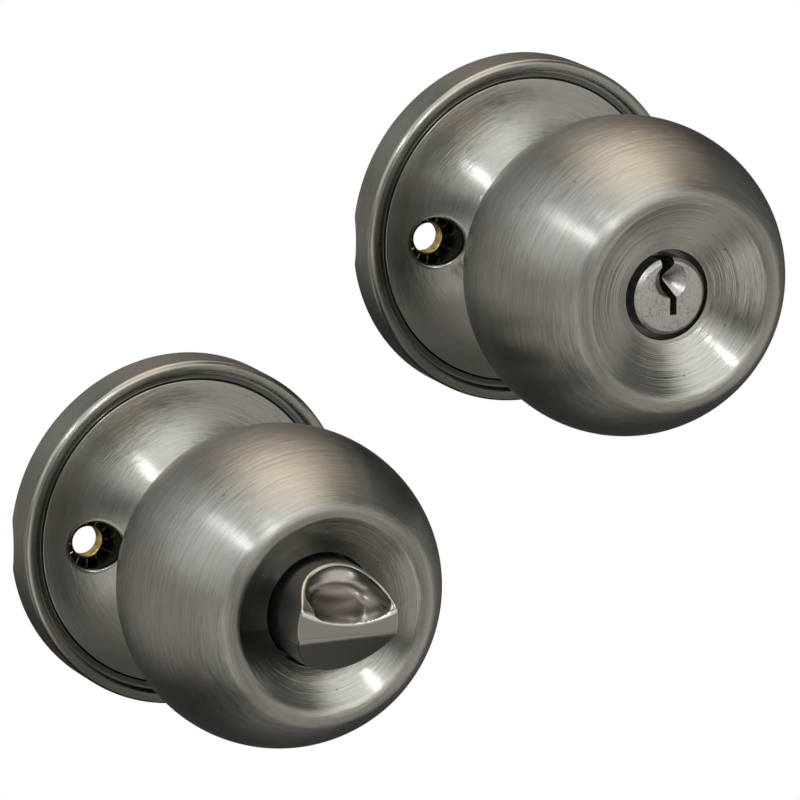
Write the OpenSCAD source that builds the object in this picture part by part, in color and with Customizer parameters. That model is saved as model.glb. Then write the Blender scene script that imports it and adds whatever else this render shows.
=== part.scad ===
// Ball door knob set: a keyed half and a turn-button half, each a rosette, a sprung shank and a hollow knob.
// Units are millimetres. Each half is drawn with z out of the door, x right and y up, then stood upright.

/* [Set] */
// sideways distance between the two knob axes
set_dx = 69.5; // [66:0.5:90]
// height distance between the two knob axes
set_dz = 49.8; // [40:0.1:80]

/* [Rosette] */
// outer diameter of the rosette
rose_d = 65; // [63:0.5:70]
// height of the rosette rim above the door
rose_h = 7.2; // [7:0.1:8]
// sheet thickness of the rosette
rose_wall = 1.0; // [0.8:0.1:1.1]
// width of the flat land around the rim
land_w = 2.2; // [1.6:0.1:2.6]
// distance between the two through-bolt centres
screw_spacing = 38; // [37:0.5:40]
// bore for a through bolt
screw_bore_d = 5.3; // [4.5:0.1:5.5]
// opening in the rosette over each bolt
opening_d = 9.4; // [9.4:0.1:10]
// width of the pry notch in the skirt
notch_w = 9; // [6:0.5:12]
// depth of the pry notch
notch_depth = 1.2; // [0.8:0.1:1.5]

/* [Knob] */
// outer diameter of the ball
knob_d = 58.5; // [56:0.5:60]
// distance of the ball centre from the door
knob_z = 45.5; // [44.5:0.1:47]
// sheet thickness of the ball
knob_wall = 1.0; // [0.8:0.1:1.2]
// diameter where the dish meets the ball
dish_rim_d = 38.5; // [36:0.5:40]
// radius of the hollow dish
dish_r = 31; // [29:0.5:34]
// rounding between ball and dish
rim_round = 3; // [2:0.2:4]
// turn of either knob to each side
knob_turn = 60; // [40:5:60]

/* [Shank] */
// outer diameter of the knob shank
shank_d = 16; // [15.6:0.1:16.4]
// wall of the knob shank
shank_wall = 1.4; // [1.2:0.1:1.5]
// wire diameter of the return spring
spring_wire = 0.9; // [0.8:0.05:1]
// across flats of the square spindle
spindle_af = 8; // [7.6:0.1:8]
// reach of the spindle behind the door face
spindle_reach = 46; // [35:1:60]

/* [Lock cylinder] */
// body diameter of the key plug
plug_d = 12.6; // [12.4:0.1:12.8]
// head diameter of the key plug
head_d = 14.2; // [13.8:0.1:14.4]
// opening in the keyed knob
plug_hole_d = 16.5; // [16:0.1:17]
// reach of the key plug in front of its opening
plug_proud = 1.4; // [1:0.1:1.8]
// diameter of the pins
pin_d = 2.84; // [2.6:0.02:2.9]
// distance between neighbouring pins
pin_pitch = 3.9; // [3.8:0.1:4]

/* [Turn button] */
// diameter of the turn button
button_d = 19.8; // [19:0.1:19.9]
// reach of the button in front of the dish hole
button_reach = 12; // [11:0.1:12.4]
// thickness of the finger rib
rib_t = 2.6; // [2.4:0.1:3.2]
// gap around the button in the knob
button_gap = 0.5; // [0.4:0.05:0.6]

/* [Fits] */
// radial clearance of a running fit
run_fit = 0.05; // [0.03:0.01:0.08]
// clearance between pieces that move past each other
free_gap = 0.4; // [0.35:0.05:0.5]

/* [Hidden] */
$fn = 96;
rose_r = rose_d / 2;
knob_r = knob_d / 2;
shank_r = shank_d / 2;
screw_r = screw_spacing / 2;
eps = 0.01;

// rosette section
groove_w = 0.9;
groove_depth = 0.5;
flat_z = rose_h - 1.4;
shoulder = 1.0;
trumpet_r = 22;
fillet_r = 4.5;
trumpet_angle = 30;
neck_r = 11.5;
trumpet_x = neck_r + fillet_r + (trumpet_r - fillet_r) * sin(trumpet_angle);
trumpet_z = flat_z + trumpet_r;
fillet_x = neck_r + fillet_r;
fillet_z = trumpet_z - (trumpet_r - fillet_r) * cos(trumpet_angle);

// knob section
back_r = 14;
back_z = knob_z - sqrt(knob_r * knob_r - back_r * back_r);
rim_z = knob_z + sqrt(knob_r * knob_r - pow(dish_rim_d / 2, 2));
dish_z = rim_z + sqrt(dish_r * dish_r - pow(dish_rim_d / 2, 2));
round_z = (pow(knob_r - rim_round, 2) - pow(dish_r + rim_round, 2) + dish_z * dish_z - knob_z * knob_z)
    / (2 * (dish_z - knob_z));
round_x = sqrt(pow(knob_r - rim_round, 2) - pow(round_z - knob_z, 2));
button_hole_r = button_d / 2 + button_gap;
hole_z = dish_z - sqrt(dish_r * dish_r - pow(plug_hole_d / 2, 2));

// knob liner
flange_t = 0.8;
flange_z = back_z - flange_t;
neck_gap = 1.0;
neck_top = flange_z - neck_gap;
sleeve_r = 10.4;
sleeve_wall = 1.2;
hub_z = back_z + 8;
sleeve_top = dish_z - sqrt(pow(dish_r + knob_wall, 2) - sleeve_r * sleeve_r) - free_gap;

// mounting plate, bush and return parts
plate_z = 1.4;
plate_t = 1.6;
plate_top = plate_z + plate_t;
plate_r = rose_r - rose_wall;
bush_wall = 1.35;
bush_r = shank_r + run_fit + bush_wall;
bush_flange_r = 11;
bush_flange_t = 0.8;
cam_top = plate_z - bush_flange_t - free_gap;
cam_t = 1.8;
cam_r = 11;
spring_turns = 2;
coil_gap = 0.45;
spring_play = 0.9;
spring_z = plate_top + 0.3 + spring_wire / 2;
spring_rise = spring_turns * (spring_wire + coil_gap);
spring_r = bush_r + spring_play + spring_wire / 2;
lug_r = bush_r + spring_play + spring_wire + 0.4;
lug_t = 1.0;
lug_w = 2;
lug_top = spring_z + spring_rise + spring_wire;
slot_half = knob_turn + 8;
tab_r = lug_r + lug_t + 2 * free_gap;
tab_t = 0.9;
leg_x = lug_w / 2 + spring_wire / 2 + 0.05;
leg_y = tab_r + tab_t;
spacer_t = 1.0;
spacer_r = 10.5;
clip_t = 1.0;
clip_depth = 0.6;
clip_r = 9.6;
clip_z = cam_top - cam_t - spacer_t - clip_t;
shank_z = clip_z - 1.8;
shank_top = hub_z - 0.5;
bore_r = shank_r - shank_wall;

// screw ferrules
ferrule_flange_r = 4.5;
ferrule_flange_t = 0.8;
ferrule_tube_r = screw_bore_d / 2 + 0.75;
ferrule_back = -1.2;
rib_count = 12;
lip_t = 0.7;
lip_z = plate_top + ferrule_flange_t + 0.4;

// lock cylinder
plug_r = plug_d / 2;
head_r = head_d / 2;
plug_face = hole_z + plug_proud;
case_z = hub_z + 5.5;
case_top = hole_z - 4.5;
head_z = case_top + free_gap;
plug_back = case_z - 3;
pin_r = pin_d / 2;
chamber_r = pin_r + 0.08;
pin_count = 5;
pin_z = case_z + 3.4;
ledge_y = 2.9;
shear_gap = 0.3;
pin_short = 0.45;
driver_len = 4.3;
chamber_end = 17.5;
driver_y = plug_r + shear_gap;
cover_t = 0.8;
block_w = 8.4;
plug_clip_t = 1.0;
plug_clip_z = case_z - free_gap - plug_clip_t;
bar_w = 5;
bar_t = 1.6;
bar_seat = 3.5;
spindle_bore_r = 3.2;
spindle_seat = 8;
sink_r = 0.46 * head_r;
sink_depth = 0.52 * head_r;
sink_y = 0.4 * head_r;

// turn button
guide_len = 9;
guide_top = hole_z - 5.4;
guide_z = guide_top - guide_len;
stem_r = 5;
stem_z = guide_z - 4;
stem_seat = 6;
button_r = button_d / 2;
button_z = guide_top + free_gap;
button_top = hole_z + button_reach;
ridge_y = -0.1 * button_r;
ridge_half = rib_t / 2;
ridge_fall = 0.62 * button_r;
pocket_edge = 0.7;
washer_t = 0.9;
washer_z = guide_z - free_gap - washer_t;
stem_clip_t = 1.0;
stem_clip_z = washer_z - stem_clip_t;
stem_clip_r = 7;
washer_r = 7.5;
socket_reach = 10;
lock_reach = 15;

SATIN = [0.62, 0.60, 0.57];
STEEL = [0.70, 0.71, 0.72];
ZINC = [0.78, 0.66, 0.34];
NICKEL = [0.76, 0.75, 0.72];
BRASS = [0.80, 0.64, 0.30];
CAST = [0.55, 0.56, 0.58];
SPRING = [0.40, 0.41, 0.43];

// Places of the two halves
module keyed() {
    rotate([90, 0, 0]) children();
}

module turned() {
    translate([-set_dx, 0, -set_dz]) rotate([90, 0, 0]) children();
}

// Flat and solid helpers
module tube(r_out, r_in, z0, z1) {
    translate([0, 0, z0]) difference() {
        cylinder(r = r_out, h = z1 - z0);
        translate([0, 0, -1]) cylinder(r = r_in, h = z1 - z0 + 2);
    }
}

module slab(x0, x1, y0, y1, z0, z1) {
    translate([x0, y0, z0]) cube([x1 - x0, y1 - y0, z1 - z0]);
}

module pie(x, z, r, a0, a1) {
    reach = 2 * r;
    translate([x, z]) intersection() {
        circle(r = r);
        polygon([[0, 0], [reach * cos(a0), reach * sin(a0)], [reach * cos(a1), reach * sin(a1)]]);
    }
}

// Round wire along a path that never runs along z
function unit(v) = v / norm(v);
function heading(p, i) = unit(unit(p[min(i + 1, len(p) - 1)] - p[min(i, len(p) - 2)])
    + unit(p[max(i, 1)] - p[max(i - 1, 0)]));
function across(t) = unit(cross(t, [0, 0, 1]));
function widen(p, i) = 1 / max(0.6, heading(p, i) * unit(p[max(i, 1)] - p[max(i - 1, 0)]));

// least distance between points of a coil that lie about a turn or more apart
function least_gap(p, turn) = min([for (i = [0 : len(p) - 1], k = [i + floor(turn / 2) : len(p) - 1])
    if (k < len(p)) norm(p[k] - p[i])]);

module wire(p, r, sides) {
    n = len(p);
    points = [for (i = [0 : n - 1], k = [0 : sides - 1])
        let (t = heading(p, i), a = across(t), b = cross(a, t), w = 360 * k / sides)
        p[i] + r * cos(w) * widen(p, i) * a + r * sin(w) * b];
    walls = [for (i = [0 : n - 2], k = [0 : sides - 1])
        [i * sides + k, (i + 1) * sides + k, (i + 1) * sides + (k + 1) % sides, i * sides + (k + 1) % sides]];
    ends = [[for (k = [0 : sides - 1]) k], [for (k = [sides - 1 : -1 : 0]) (n - 1) * sides + k]];
    polyhedron(points = points, faces = concat(walls, ends));
}

// Rosette: one spun sheet with a rim land, a groove and a trumpet neck
module rose_fill(d) {
    difference() {
        union() {
            square([rose_r - d - 0.5, flat_z - d]);
            square([trumpet_x, fillet_z]);
        }
        pie(trumpet_x, trumpet_z, trumpet_r + d, -90 - trumpet_angle, -90);
        pie(fillet_x, fillet_z, fillet_r + d, 175, 274 - trumpet_angle);
        translate([fillet_x - 1, fillet_z - 1]) square([trumpet_x - fillet_x + 2, 2]);
    }
    square([neck_r - d, neck_top - d]);
}

module rose_outside() {
    difference() {
        union() {
            rose_fill(0);
            translate([rose_r - land_w, 0]) square([land_w - shoulder, rose_h]);
            translate([rose_r - land_w, 0]) square([land_w, rose_h - shoulder]);
            translate([rose_r - shoulder, rose_h - shoulder]) circle(r = shoulder);
        }
        translate([rose_r - land_w - groove_w, flat_z - groove_depth]) square([groove_w, groove_depth + 1]);
    }
}

module rose_inside() {
    rose_fill(rose_wall);
    translate([0, -1]) square([plate_r, flat_z - rose_wall + 1]);
}

module rose() {
    notch_r = (notch_w * notch_w / 4 + notch_depth * notch_depth) / (2 * notch_depth);
    difference() {
        rotate_extrude() rose_outside();
        difference() {
            rotate_extrude() rose_inside();
            for (side = [-1, 1])
                translate([side * screw_r, 0, lip_z]) cylinder(r = opening_d / 2 + lip_t, h = 20);
        }
        translate([0, 0, -1]) cylinder(r = bush_r, h = neck_top + 2);
        for (side = [-1, 1])
            translate([side * screw_r, 0, -1]) cylinder(r = opening_d / 2, h = 25);
        translate([-rose_r - 2, 0, notch_depth - notch_r]) rotate([0, 90, 0]) cylinder(r = notch_r, h = 5);
    }
}

// Mounting plate with an arc slot for the cam lug and a bent-up stop tab
module plate() {
    difference() {
        translate([0, 0, plate_z]) cylinder(r = plate_r, h = plate_t);
        translate([0, 0, plate_z - 1]) cylinder(r = bush_r, h = plate_t + 2);
        for (side = [-1, 1])
            translate([side * screw_r, 0, plate_z - 1]) cylinder(r = ferrule_tube_r, h = plate_t + 2);
        translate([0, 0, plate_z - 1]) rotate([0, 0, 90 - slot_half]) rotate_extrude(angle = 2 * slot_half)
            translate([lug_r - free_gap, 0]) square([lug_t + 2 * free_gap, plate_t + 2]);
    }
    slab(-lug_w / 2, lug_w / 2, tab_r, tab_r + tab_t, plate_top - 0.5, lug_top);
}

module ferrule(side) {
    translate([side * screw_r, 0, 0]) difference() {
        union() {
            translate([0, 0, ferrule_back]) cylinder(r = ferrule_tube_r, h = plate_top - ferrule_back);
            translate([0, 0, plate_top]) cylinder(r = ferrule_flange_r, h = ferrule_flange_t);
            for (i = [0 : rib_count - 1]) rotate([0, 0, 360 * (i + 0.5) / rib_count])
                slab(screw_bore_d / 2 + 0.5, ferrule_flange_r - 0.2, -0.2, 0.2, plate_top + 0.3,
                    plate_top + ferrule_flange_t + 0.25);
        }
        translate([0, 0, ferrule_back - 1]) cylinder(r = screw_bore_d / 2, h = 20);
    }
}

module bush() {
    difference() {
        union() {
            translate([0, 0, plate_z - bush_flange_t])
                cylinder(r = bush_r, h = neck_top + 0.2 - plate_z + bush_flange_t);
            translate([0, 0, plate_z - bush_flange_t]) cylinder(r = bush_flange_r, h = bush_flange_t);
        }
        translate([0, 0, -5]) cylinder(r = shank_r + run_fit, h = 40);
    }
}

module return_spring() {
    lead = asin(leg_x / spring_r);
    sweep = 360 * spring_turns - 2 * lead;
    steps = 30 * spring_turns;
    coil = [for (i = [0 : steps])
        let (a = 90 - lead - sweep * i / steps)
        [spring_r * cos(a), spring_r * sin(a), spring_z + spring_rise * i / steps]];
    path = concat([[leg_x, leg_y, spring_z]], coil, [[-leg_x, leg_y, spring_z + spring_rise]]);
    echo(return_spring_gap = least_gap(coil, steps / spring_turns) - spring_wire);
    wire(path, spring_wire / 2, 10);
}

module cam() {
    tube(cam_r, shank_r, cam_top - cam_t, cam_top);
    slab(-lug_w / 2, lug_w / 2, shank_r + 1, lug_r + lug_t, cam_top - cam_t, cam_top);
    slab(-lug_w / 2, lug_w / 2, lug_r, lug_r + lug_t, cam_top - 0.5, lug_top);
}

module spacer() {
    tube(spacer_r, shank_r, clip_z + clip_t, clip_z + clip_t + spacer_t);
}

module open_ring(r_out, r_in, z0, z1, gap) {
    difference() {
        tube(r_out, r_in, z0, z1);
        slab(-gap / 2, gap / 2, -r_out - 1, 0, z0 - 1, z1 + 1);
    }
}

module circlip() {
    open_ring(clip_r, shank_r - clip_depth, clip_z, clip_z + clip_t, 8);
}

module shank() {
    difference() {
        tube(shank_r, bore_r, shank_z, shank_top);
        tube(shank_r + 1, shank_r - clip_depth, clip_z, clip_z + clip_t);
    }
}

module spindle() {
    difference() {
        union() {
            translate([0, 0, shank_z]) cylinder(r = bore_r, h = spindle_seat);
            slab(-spindle_af / 2, spindle_af / 2, -spindle_af / 2, spindle_af / 2, -spindle_reach, shank_z + 1);
        }
        translate([0, 0, -spindle_reach - 1]) cylinder(r = spindle_bore_r, h = spindle_reach + 20);
    }
}

module socket() {
    half = spindle_af / 2 + 0.15;
    difference() {
        translate([0, 0, shank_z]) cylinder(r = bore_r, h = socket_reach);
        slab(-half, half, -half, half, shank_z - 1, shank_z + socket_reach + 1);
    }
}

// Knob: flange and sleeve inside, spun ball with a rounded dish outside
module liner(slotted) {
    difference() {
        union() {
            translate([0, 0, flange_z]) cylinder(r = back_r - 0.1, h = flange_t);
            translate([0, 0, back_z - eps]) cylinder(r = sleeve_r + sleeve_wall, h = sleeve_top - back_z);
        }
        translate([0, 0, flange_z - 1]) cylinder(r = shank_r, h = hub_z);
        translate([0, 0, hub_z]) cylinder(r = sleeve_r, h = sleeve_top);
        if (slotted)
            slab(-block_w / 2, block_w / 2, -sleeve_r - sleeve_wall - 1, 0, case_z - 0.2, sleeve_top + 1);
    }
}

module ball_fill(d) {
    to_ball = unit([round_x, round_z - knob_z]);
    to_dish = unit([-round_x, dish_z - round_z]);
    outward = unit(to_ball + to_dish);
    centre = [round_x, round_z];
    far = rim_round + 6;
    difference() {
        intersection() {
            translate([0, knob_z]) circle(r = knob_r - d);
            translate([0, back_z - 1]) square([knob_r + 1, 2 * knob_r]);
        }
        translate([0, dish_z]) circle(r = dish_r + d);
        polygon([centre, centre + far * to_ball, centre + 2 * far * outward, centre + far * to_dish]);
    }
    translate(centre) circle(r = rim_round - d);
}

module shell(hole_r) {
    rotate_extrude() difference() {
        ball_fill(0);
        ball_fill(knob_wall);
        translate([0, back_z - 2]) square([knob_r, 2]);
        square([sleeve_r + sleeve_wall + 0.05, knob_z]);
        square([hole_r, 2 * knob_z]);
    }
}

// Lock cylinder: case with a pin block below, plug with its keyway, pins drawn at the shear line
module cylinder_case_body() {
    difference() {
        union() {
            translate([0, 0, case_z]) cylinder(r = sleeve_r, h = case_top - case_z);
            slab(-block_w / 2 + 0.1, block_w / 2 - 0.1, -chamber_end, 0, case_z, case_top);
        }
        translate([0, 0, case_z - 1]) cylinder(r = plug_r + run_fit, h = case_top - case_z + 2);
        for (i = [0 : pin_count - 1])
            translate([0, -plug_r + 1, pin_z + i * pin_pitch]) rotate([90, 0, 0])
                cylinder(r = chamber_r, h = chamber_end);
    }
}

module cylinder_cover_body() {
    slab(-block_w / 2 + 0.1, block_w / 2 - 0.1, -chamber_end - cover_t, -chamber_end, case_z, case_top);
}

module keyway_section() {
    points = [
        [-0.26, 1.1], [0.09, 1.1], [0.09, 0.72], [0.01, 0.5], [0.01, 0.32], [0.17, -0.05], [0.17, -0.49],
        [-0.02, -0.49], [-0.02, -0.06], [-0.15, 0.16], [-0.15, 0.5], [-0.26, 0.72]
    ];
    polygon([for (p = points) head_r * p]);
}

module key_plug_body() {
    bevel = 0.9;
    difference() {
        union() {
            translate([0, 0, plug_back]) cylinder(r = plug_r, h = head_z - plug_back + 0.5);
            translate([0, 0, head_z]) cylinder(r = head_r, h = plug_face - bevel - head_z);
            translate([0, 0, plug_face - bevel]) cylinder(r1 = head_r, r2 = head_r - bevel, h = bevel);
        }
        translate([0, 0, case_z + 1]) linear_extrude(height = plug_face) keyway_section();
        translate([0, sink_y, plug_face - sink_depth]) cylinder(r1 = 0, r2 = 2 * sink_r, h = 2 * sink_depth);
        for (i = [0 : pin_count - 1])
            translate([0, -ledge_y, pin_z + i * pin_pitch]) rotate([90, 0, 0])
                cylinder(r = chamber_r, h = plug_r);
        tube(plug_r + 1, plug_r - clip_depth, plug_clip_z, plug_clip_z + plug_clip_t);
        slab(-bar_w / 2, bar_w / 2, -bar_t / 2, bar_t / 2, plug_back - 1, plug_back + bar_seat);
    }
}

module plug_clip_body() {
    open_ring(plug_r + 1.8, plug_r - clip_depth, plug_clip_z, plug_clip_z + plug_clip_t, 6);
}

module flat_bar(z0, z1) {
    slab(-bar_w / 2, bar_w / 2, -bar_t / 2, bar_t / 2, z0, z1);
}

module key_pin(i) {
    tip = 0.5;
    translate([0, -ledge_y, pin_z + (i - 1) * pin_pitch]) rotate([90, 0, 0]) {
        cylinder(r1 = pin_r - tip, r2 = pin_r, h = tip);
        translate([0, 0, tip]) cylinder(r = pin_r, h = plug_r - ledge_y - tip - pin_short);
    }
}

module driver(i) {
    translate([0, -driver_y, pin_z + (i - 1) * pin_pitch]) rotate([90, 0, 0])
        cylinder(r = pin_r, h = driver_len);
}

module pin_spring(i) {
    wire_r = 0.16;
    coil_r = pin_r - 0.25;
    turns = 6;
    base = driver_y + driver_len + wire_r;
    rise = chamber_end - wire_r - base;
    steps = 14 * turns;
    path = [for (k = [0 : steps]) let (a = 360 * turns * k / steps)
        [coil_r * cos(a), coil_r * sin(a), base + rise * k / steps]];
    echo(pin_spring_gap = least_gap(path, steps / turns) - 2 * wire_r);
    translate([0, 0, pin_z + (i - 1) * pin_pitch]) rotate([90, 0, 0]) wire(path, wire_r, 6);
}

// Turn button: ridged head with a scoop on each side of the ridge, on a stem guided in the knob.
// A side is 1 above the ridge and -1 below it.
function ridge_edge(side) = ridge_half + side * ridge_y;
function ridge_drop(share) = ridge_fall * (1 - cos(180 * share)) / 2;

module ridge_cut(side) {
    reach = 2 * button_r + 4;
    edge = ridge_edge(side);
    steps = 20;
    slope = [for (i = [0 : steps]) [edge + (button_r - edge) * i / steps, button_top - ridge_drop(i / steps)]];
    far = [[button_r + 1, button_top - ridge_fall], [button_r + 1, button_top + 1], [edge, button_top + 1]];
    translate([-reach / 2, 0, 0]) rotate([90, 0, 90]) linear_extrude(height = reach) polygon(concat(slope, far));
}

module scoop(side) {
    reach = 2 * button_r + 4;
    pocket_r = 0.52 * (button_r - ridge_edge(side)) + 0.6;
    pocket_y = ridge_edge(side) + pocket_r;
    ridge_cut(side);
    intersection() {
        translate([-reach / 2, pocket_y, button_top - 0.3 * pocket_r]) rotate([0, 90, 0])
            cylinder(r = pocket_r, h = reach);
        translate([0, 0, button_z + 1]) cylinder(r = button_r - pocket_edge, h = 20);
    }
}

module button() {
    difference() {
        union() {
            translate([0, 0, button_z]) cylinder(r = button_r, h = button_top - button_z);
            translate([0, 0, stem_z]) cylinder(r = stem_r, h = button_z - stem_z + 1);
        }
        scoop(1);
        mirror([0, 1, 0]) scoop(-1);
        tube(stem_r + 1, stem_r - clip_depth, stem_clip_z, stem_clip_z + stem_clip_t);
        slab(-bar_w / 2, bar_w / 2, -bar_t / 2, bar_t / 2, stem_z - 1, stem_z + stem_seat);
    }
}

// Keyed half
module keyed_rose() { color(SATIN) keyed() rose(); }
module keyed_plate() { color(ZINC) keyed() plate(); }
module keyed_ferrule_l() { color(ZINC) keyed() ferrule(-1); }
module keyed_ferrule_r() { color(ZINC) keyed() ferrule(1); }
module keyed_bush() { color(BRASS) keyed() bush(); }
module keyed_return_spring() { color(SPRING) keyed() return_spring(); }
module keyed_cam() { color(STEEL) keyed() cam(); }
module keyed_spacer() { color(STEEL) keyed() spacer(); }
module keyed_circlip() { color(SPRING) keyed() circlip(); }
module keyed_shank() { color(STEEL) keyed() shank(); }
module keyed_spindle() { color(STEEL) keyed() spindle(); }
module keyed_liner() { color(CAST) keyed() liner(true); }
module keyed_shell() { color(SATIN) keyed() shell(plug_hole_d / 2); }
module cylinder_case() { color(CAST) keyed() cylinder_case_body(); }
module cylinder_cover() { color(BRASS) keyed() cylinder_cover_body(); }
module key_plug() { color(NICKEL) keyed() key_plug_body(); }
module plug_clip() { color(SPRING) keyed() plug_clip_body(); }
module tail_bar() { color(STEEL) keyed() flat_bar(-spindle_reach - 2, plug_back + bar_seat); }
module key_pin_1() { color(BRASS) keyed() key_pin(1); }
module key_pin_2() { color(BRASS) keyed() key_pin(2); }
module key_pin_3() { color(BRASS) keyed() key_pin(3); }
module key_pin_4() { color(BRASS) keyed() key_pin(4); }
module key_pin_5() { color(BRASS) keyed() key_pin(5); }
module driver_1() { color(STEEL) keyed() driver(1); }
module driver_2() { color(STEEL) keyed() driver(2); }
module driver_3() { color(STEEL) keyed() driver(3); }
module driver_4() { color(STEEL) keyed() driver(4); }
module driver_5() { color(STEEL) keyed() driver(5); }
module pin_spring_1() { color(SPRING) keyed() pin_spring(1); }
module pin_spring_2() { color(SPRING) keyed() pin_spring(2); }
module pin_spring_3() { color(SPRING) keyed() pin_spring(3); }
module pin_spring_4() { color(SPRING) keyed() pin_spring(4); }
module pin_spring_5() { color(SPRING) keyed() pin_spring(5); }

// Turn-button half
module turn_rose() { color(SATIN) turned() rose(); }
module turn_plate() { color(ZINC) turned() plate(); }
module turn_ferrule_l() { color(ZINC) turned() ferrule(-1); }
module turn_ferrule_r() { color(ZINC) turned() ferrule(1); }
module turn_bush() { color(BRASS) turned() bush(); }
module turn_return_spring() { color(SPRING) turned() return_spring(); }
module turn_cam() { color(STEEL) turned() cam(); }
module turn_spacer() { color(STEEL) turned() spacer(); }
module turn_circlip() { color(SPRING) turned() circlip(); }
module turn_shank() { color(STEEL) turned() shank(); }
module turn_socket() { color(STEEL) turned() socket(); }
module turn_liner() { color(CAST) turned() liner(false); }
module turn_shell() { color(SATIN) turned() shell(button_hole_r); }
module button_guide() { color(CAST) turned() tube(sleeve_r, stem_r + run_fit, guide_z, guide_top); }
module turn_button() { color(NICKEL) turned() button(); }
module button_washer() { color(SPRING) turned() tube(washer_r, stem_r, washer_z, washer_z + washer_t); }
module button_clip() {
    color(SPRING) turned() open_ring(stem_clip_r, stem_r - clip_depth, stem_clip_z, stem_clip_z + stem_clip_t, 5);
}
module lock_bar() { color(STEEL) turned() flat_bar(-lock_reach, stem_z + stem_seat); }

keyed_rose();
keyed_plate();
keyed_ferrule_l();
keyed_ferrule_r();
keyed_bush();
keyed_return_spring();
keyed_cam();
keyed_spacer();
keyed_circlip();
keyed_shank();
keyed_spindle();
keyed_liner();
keyed_shell();
cylinder_case();
cylinder_cover();
key_plug();
plug_clip();
tail_bar();
key_pin_1();
key_pin_2();
key_pin_3();
key_pin_4();
key_pin_5();
driver_1();
driver_2();
driver_3();
driver_4();
driver_5();
pin_spring_1();
pin_spring_2();
pin_spring_3();
pin_spring_4();
pin_spring_5();
turn_rose();
turn_plate();
turn_ferrule_l();
turn_ferrule_r();
turn_bush();
turn_return_spring();
turn_cam();
turn_spacer();
turn_circlip();
turn_shank();
turn_socket();
turn_liner();
turn_shell();
button_guide();
turn_button();
button_washer();
button_clip();
lock_bar();
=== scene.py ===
"""Ball door knob set: the visible pieces and finishes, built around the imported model.

Lengths are in metres. Each half is drawn about its own axis, with z out of the door, x right and y up, and is
then stood upright by stand(), so that the outside faces -Y and up is +Z.
"""

import math

import bmesh
import bpy
from bpy.props import FloatProperty, FloatVectorProperty, IntProperty, PointerProperty
from mathutils import Matrix, Vector


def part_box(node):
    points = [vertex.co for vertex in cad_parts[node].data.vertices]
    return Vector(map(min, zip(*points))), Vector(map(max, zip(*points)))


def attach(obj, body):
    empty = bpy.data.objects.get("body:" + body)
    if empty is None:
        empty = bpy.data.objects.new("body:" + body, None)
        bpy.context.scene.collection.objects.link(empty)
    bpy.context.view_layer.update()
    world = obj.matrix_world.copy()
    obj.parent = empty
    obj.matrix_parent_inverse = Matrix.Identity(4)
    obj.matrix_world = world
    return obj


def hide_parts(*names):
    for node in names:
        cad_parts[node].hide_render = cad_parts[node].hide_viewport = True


bl_info = {
    "name": "Ball Knob Set",
    "version": (1, 0, 0),
    "blender": (4, 5, 0),
    "location": "3D View > Sidebar > Knob Set",
    "description": "Builds the visible pieces and finishes of a ball door knob set around its frame",
    "category": "Add Mesh",
}

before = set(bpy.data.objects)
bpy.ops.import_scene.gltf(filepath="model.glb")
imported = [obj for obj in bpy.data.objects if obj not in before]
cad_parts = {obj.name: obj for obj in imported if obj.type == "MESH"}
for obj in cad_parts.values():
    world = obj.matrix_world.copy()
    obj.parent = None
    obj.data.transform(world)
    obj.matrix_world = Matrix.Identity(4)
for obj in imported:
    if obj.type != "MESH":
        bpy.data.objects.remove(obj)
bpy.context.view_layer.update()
MM = 0.001


def axis_of(node):
    """Middle of a round node, as x and z of its axis."""
    low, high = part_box(node)
    return (low.x + high.x) / 2, (low.z + high.z) / 2


def span_of(node):
    """Width of a node along X."""
    low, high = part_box(node)
    return high.x - low.x


KEYED_AXIS = axis_of("keyed_rose")
TURN_AXIS = axis_of("turn_rose")
HALVES = (("keyed", KEYED_AXIS), ("turn", TURN_AXIS))


# ---------------------------------------------------------------- sizes and colours

def length(name, text, mm):
    """A length property with its default in millimetres."""
    return FloatProperty(name=name, description=text, default=mm * MM, min=0.0, max=1.0, precision=5,
                         unit="LENGTH", subtype="DISTANCE")


def colour(name, text, value):
    """A colour property."""
    return FloatVectorProperty(name=name, description=text, default=value, size=3, min=0.0, max=1.0,
                               subtype="COLOR")


def number(name, text, value, low, high):
    """A plain number property."""
    return FloatProperty(name=name, description=text, default=value, min=low, max=high)


def angle(name, text, degrees):
    """An angle property with its default in degrees."""
    return FloatProperty(name=name, description=text, default=math.radians(degrees), unit="ROTATION",
                         subtype="ANGLE")


class RosetteSizes(bpy.types.PropertyGroup):
    """Sizes of both rosettes."""
    diameter: length("Diameter", "Outer diameter of the rosette", span_of("keyed_rose") / MM)
    rim_height: length("Rim height", "Height of the rim above the door", 7.2)
    wall: length("Wall", "Sheet thickness", 1.0)
    land: length("Land", "Width of the land around the rim", 2.2)
    shoulder: length("Shoulder", "Rounding of the rim's outer edge", 1.0)
    groove: length("Groove", "Width of the groove inside the land", 1.65)
    groove_depth: length("Groove depth", "Depth of the groove", 0.5)
    flat: length("Flat", "Height of the face at the groove", 5.8)
    cone: angle("Cone", "Slope of the face inside the groove", 5.5)
    trumpet: length("Trumpet", "Radius of the flare towards the neck", 24.0)
    fillet: length("Fillet", "Radius of the bend into the neck", 4.5)
    flare: angle("Flare", "Turn of the flare before the bend", 38.0)
    neck: length("Neck", "Outer radius of the neck", 11.5)
    neck_top: length("Neck top", "Height of the neck's end", -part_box("keyed_rose")[0].y / MM)
    bore: length("Bore", "Radius of the opening for the bush", 9.42)
    bolt_spacing: length("Bolt spacing", "Distance between the two bolt centres", 38.0)
    opening: length("Opening", "Diameter of each bolt opening", 8.8)
    lip: length("Lip", "Rounding of each opening's edge", 0.9)
    lip_end: length("Lip end", "Height at which the turned-in edge ends", 4.25)
    notch: length("Notch", "Width of the pry notch", 9.0)
    notch_depth: length("Notch depth", "Depth of the pry notch", 1.2)


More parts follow.
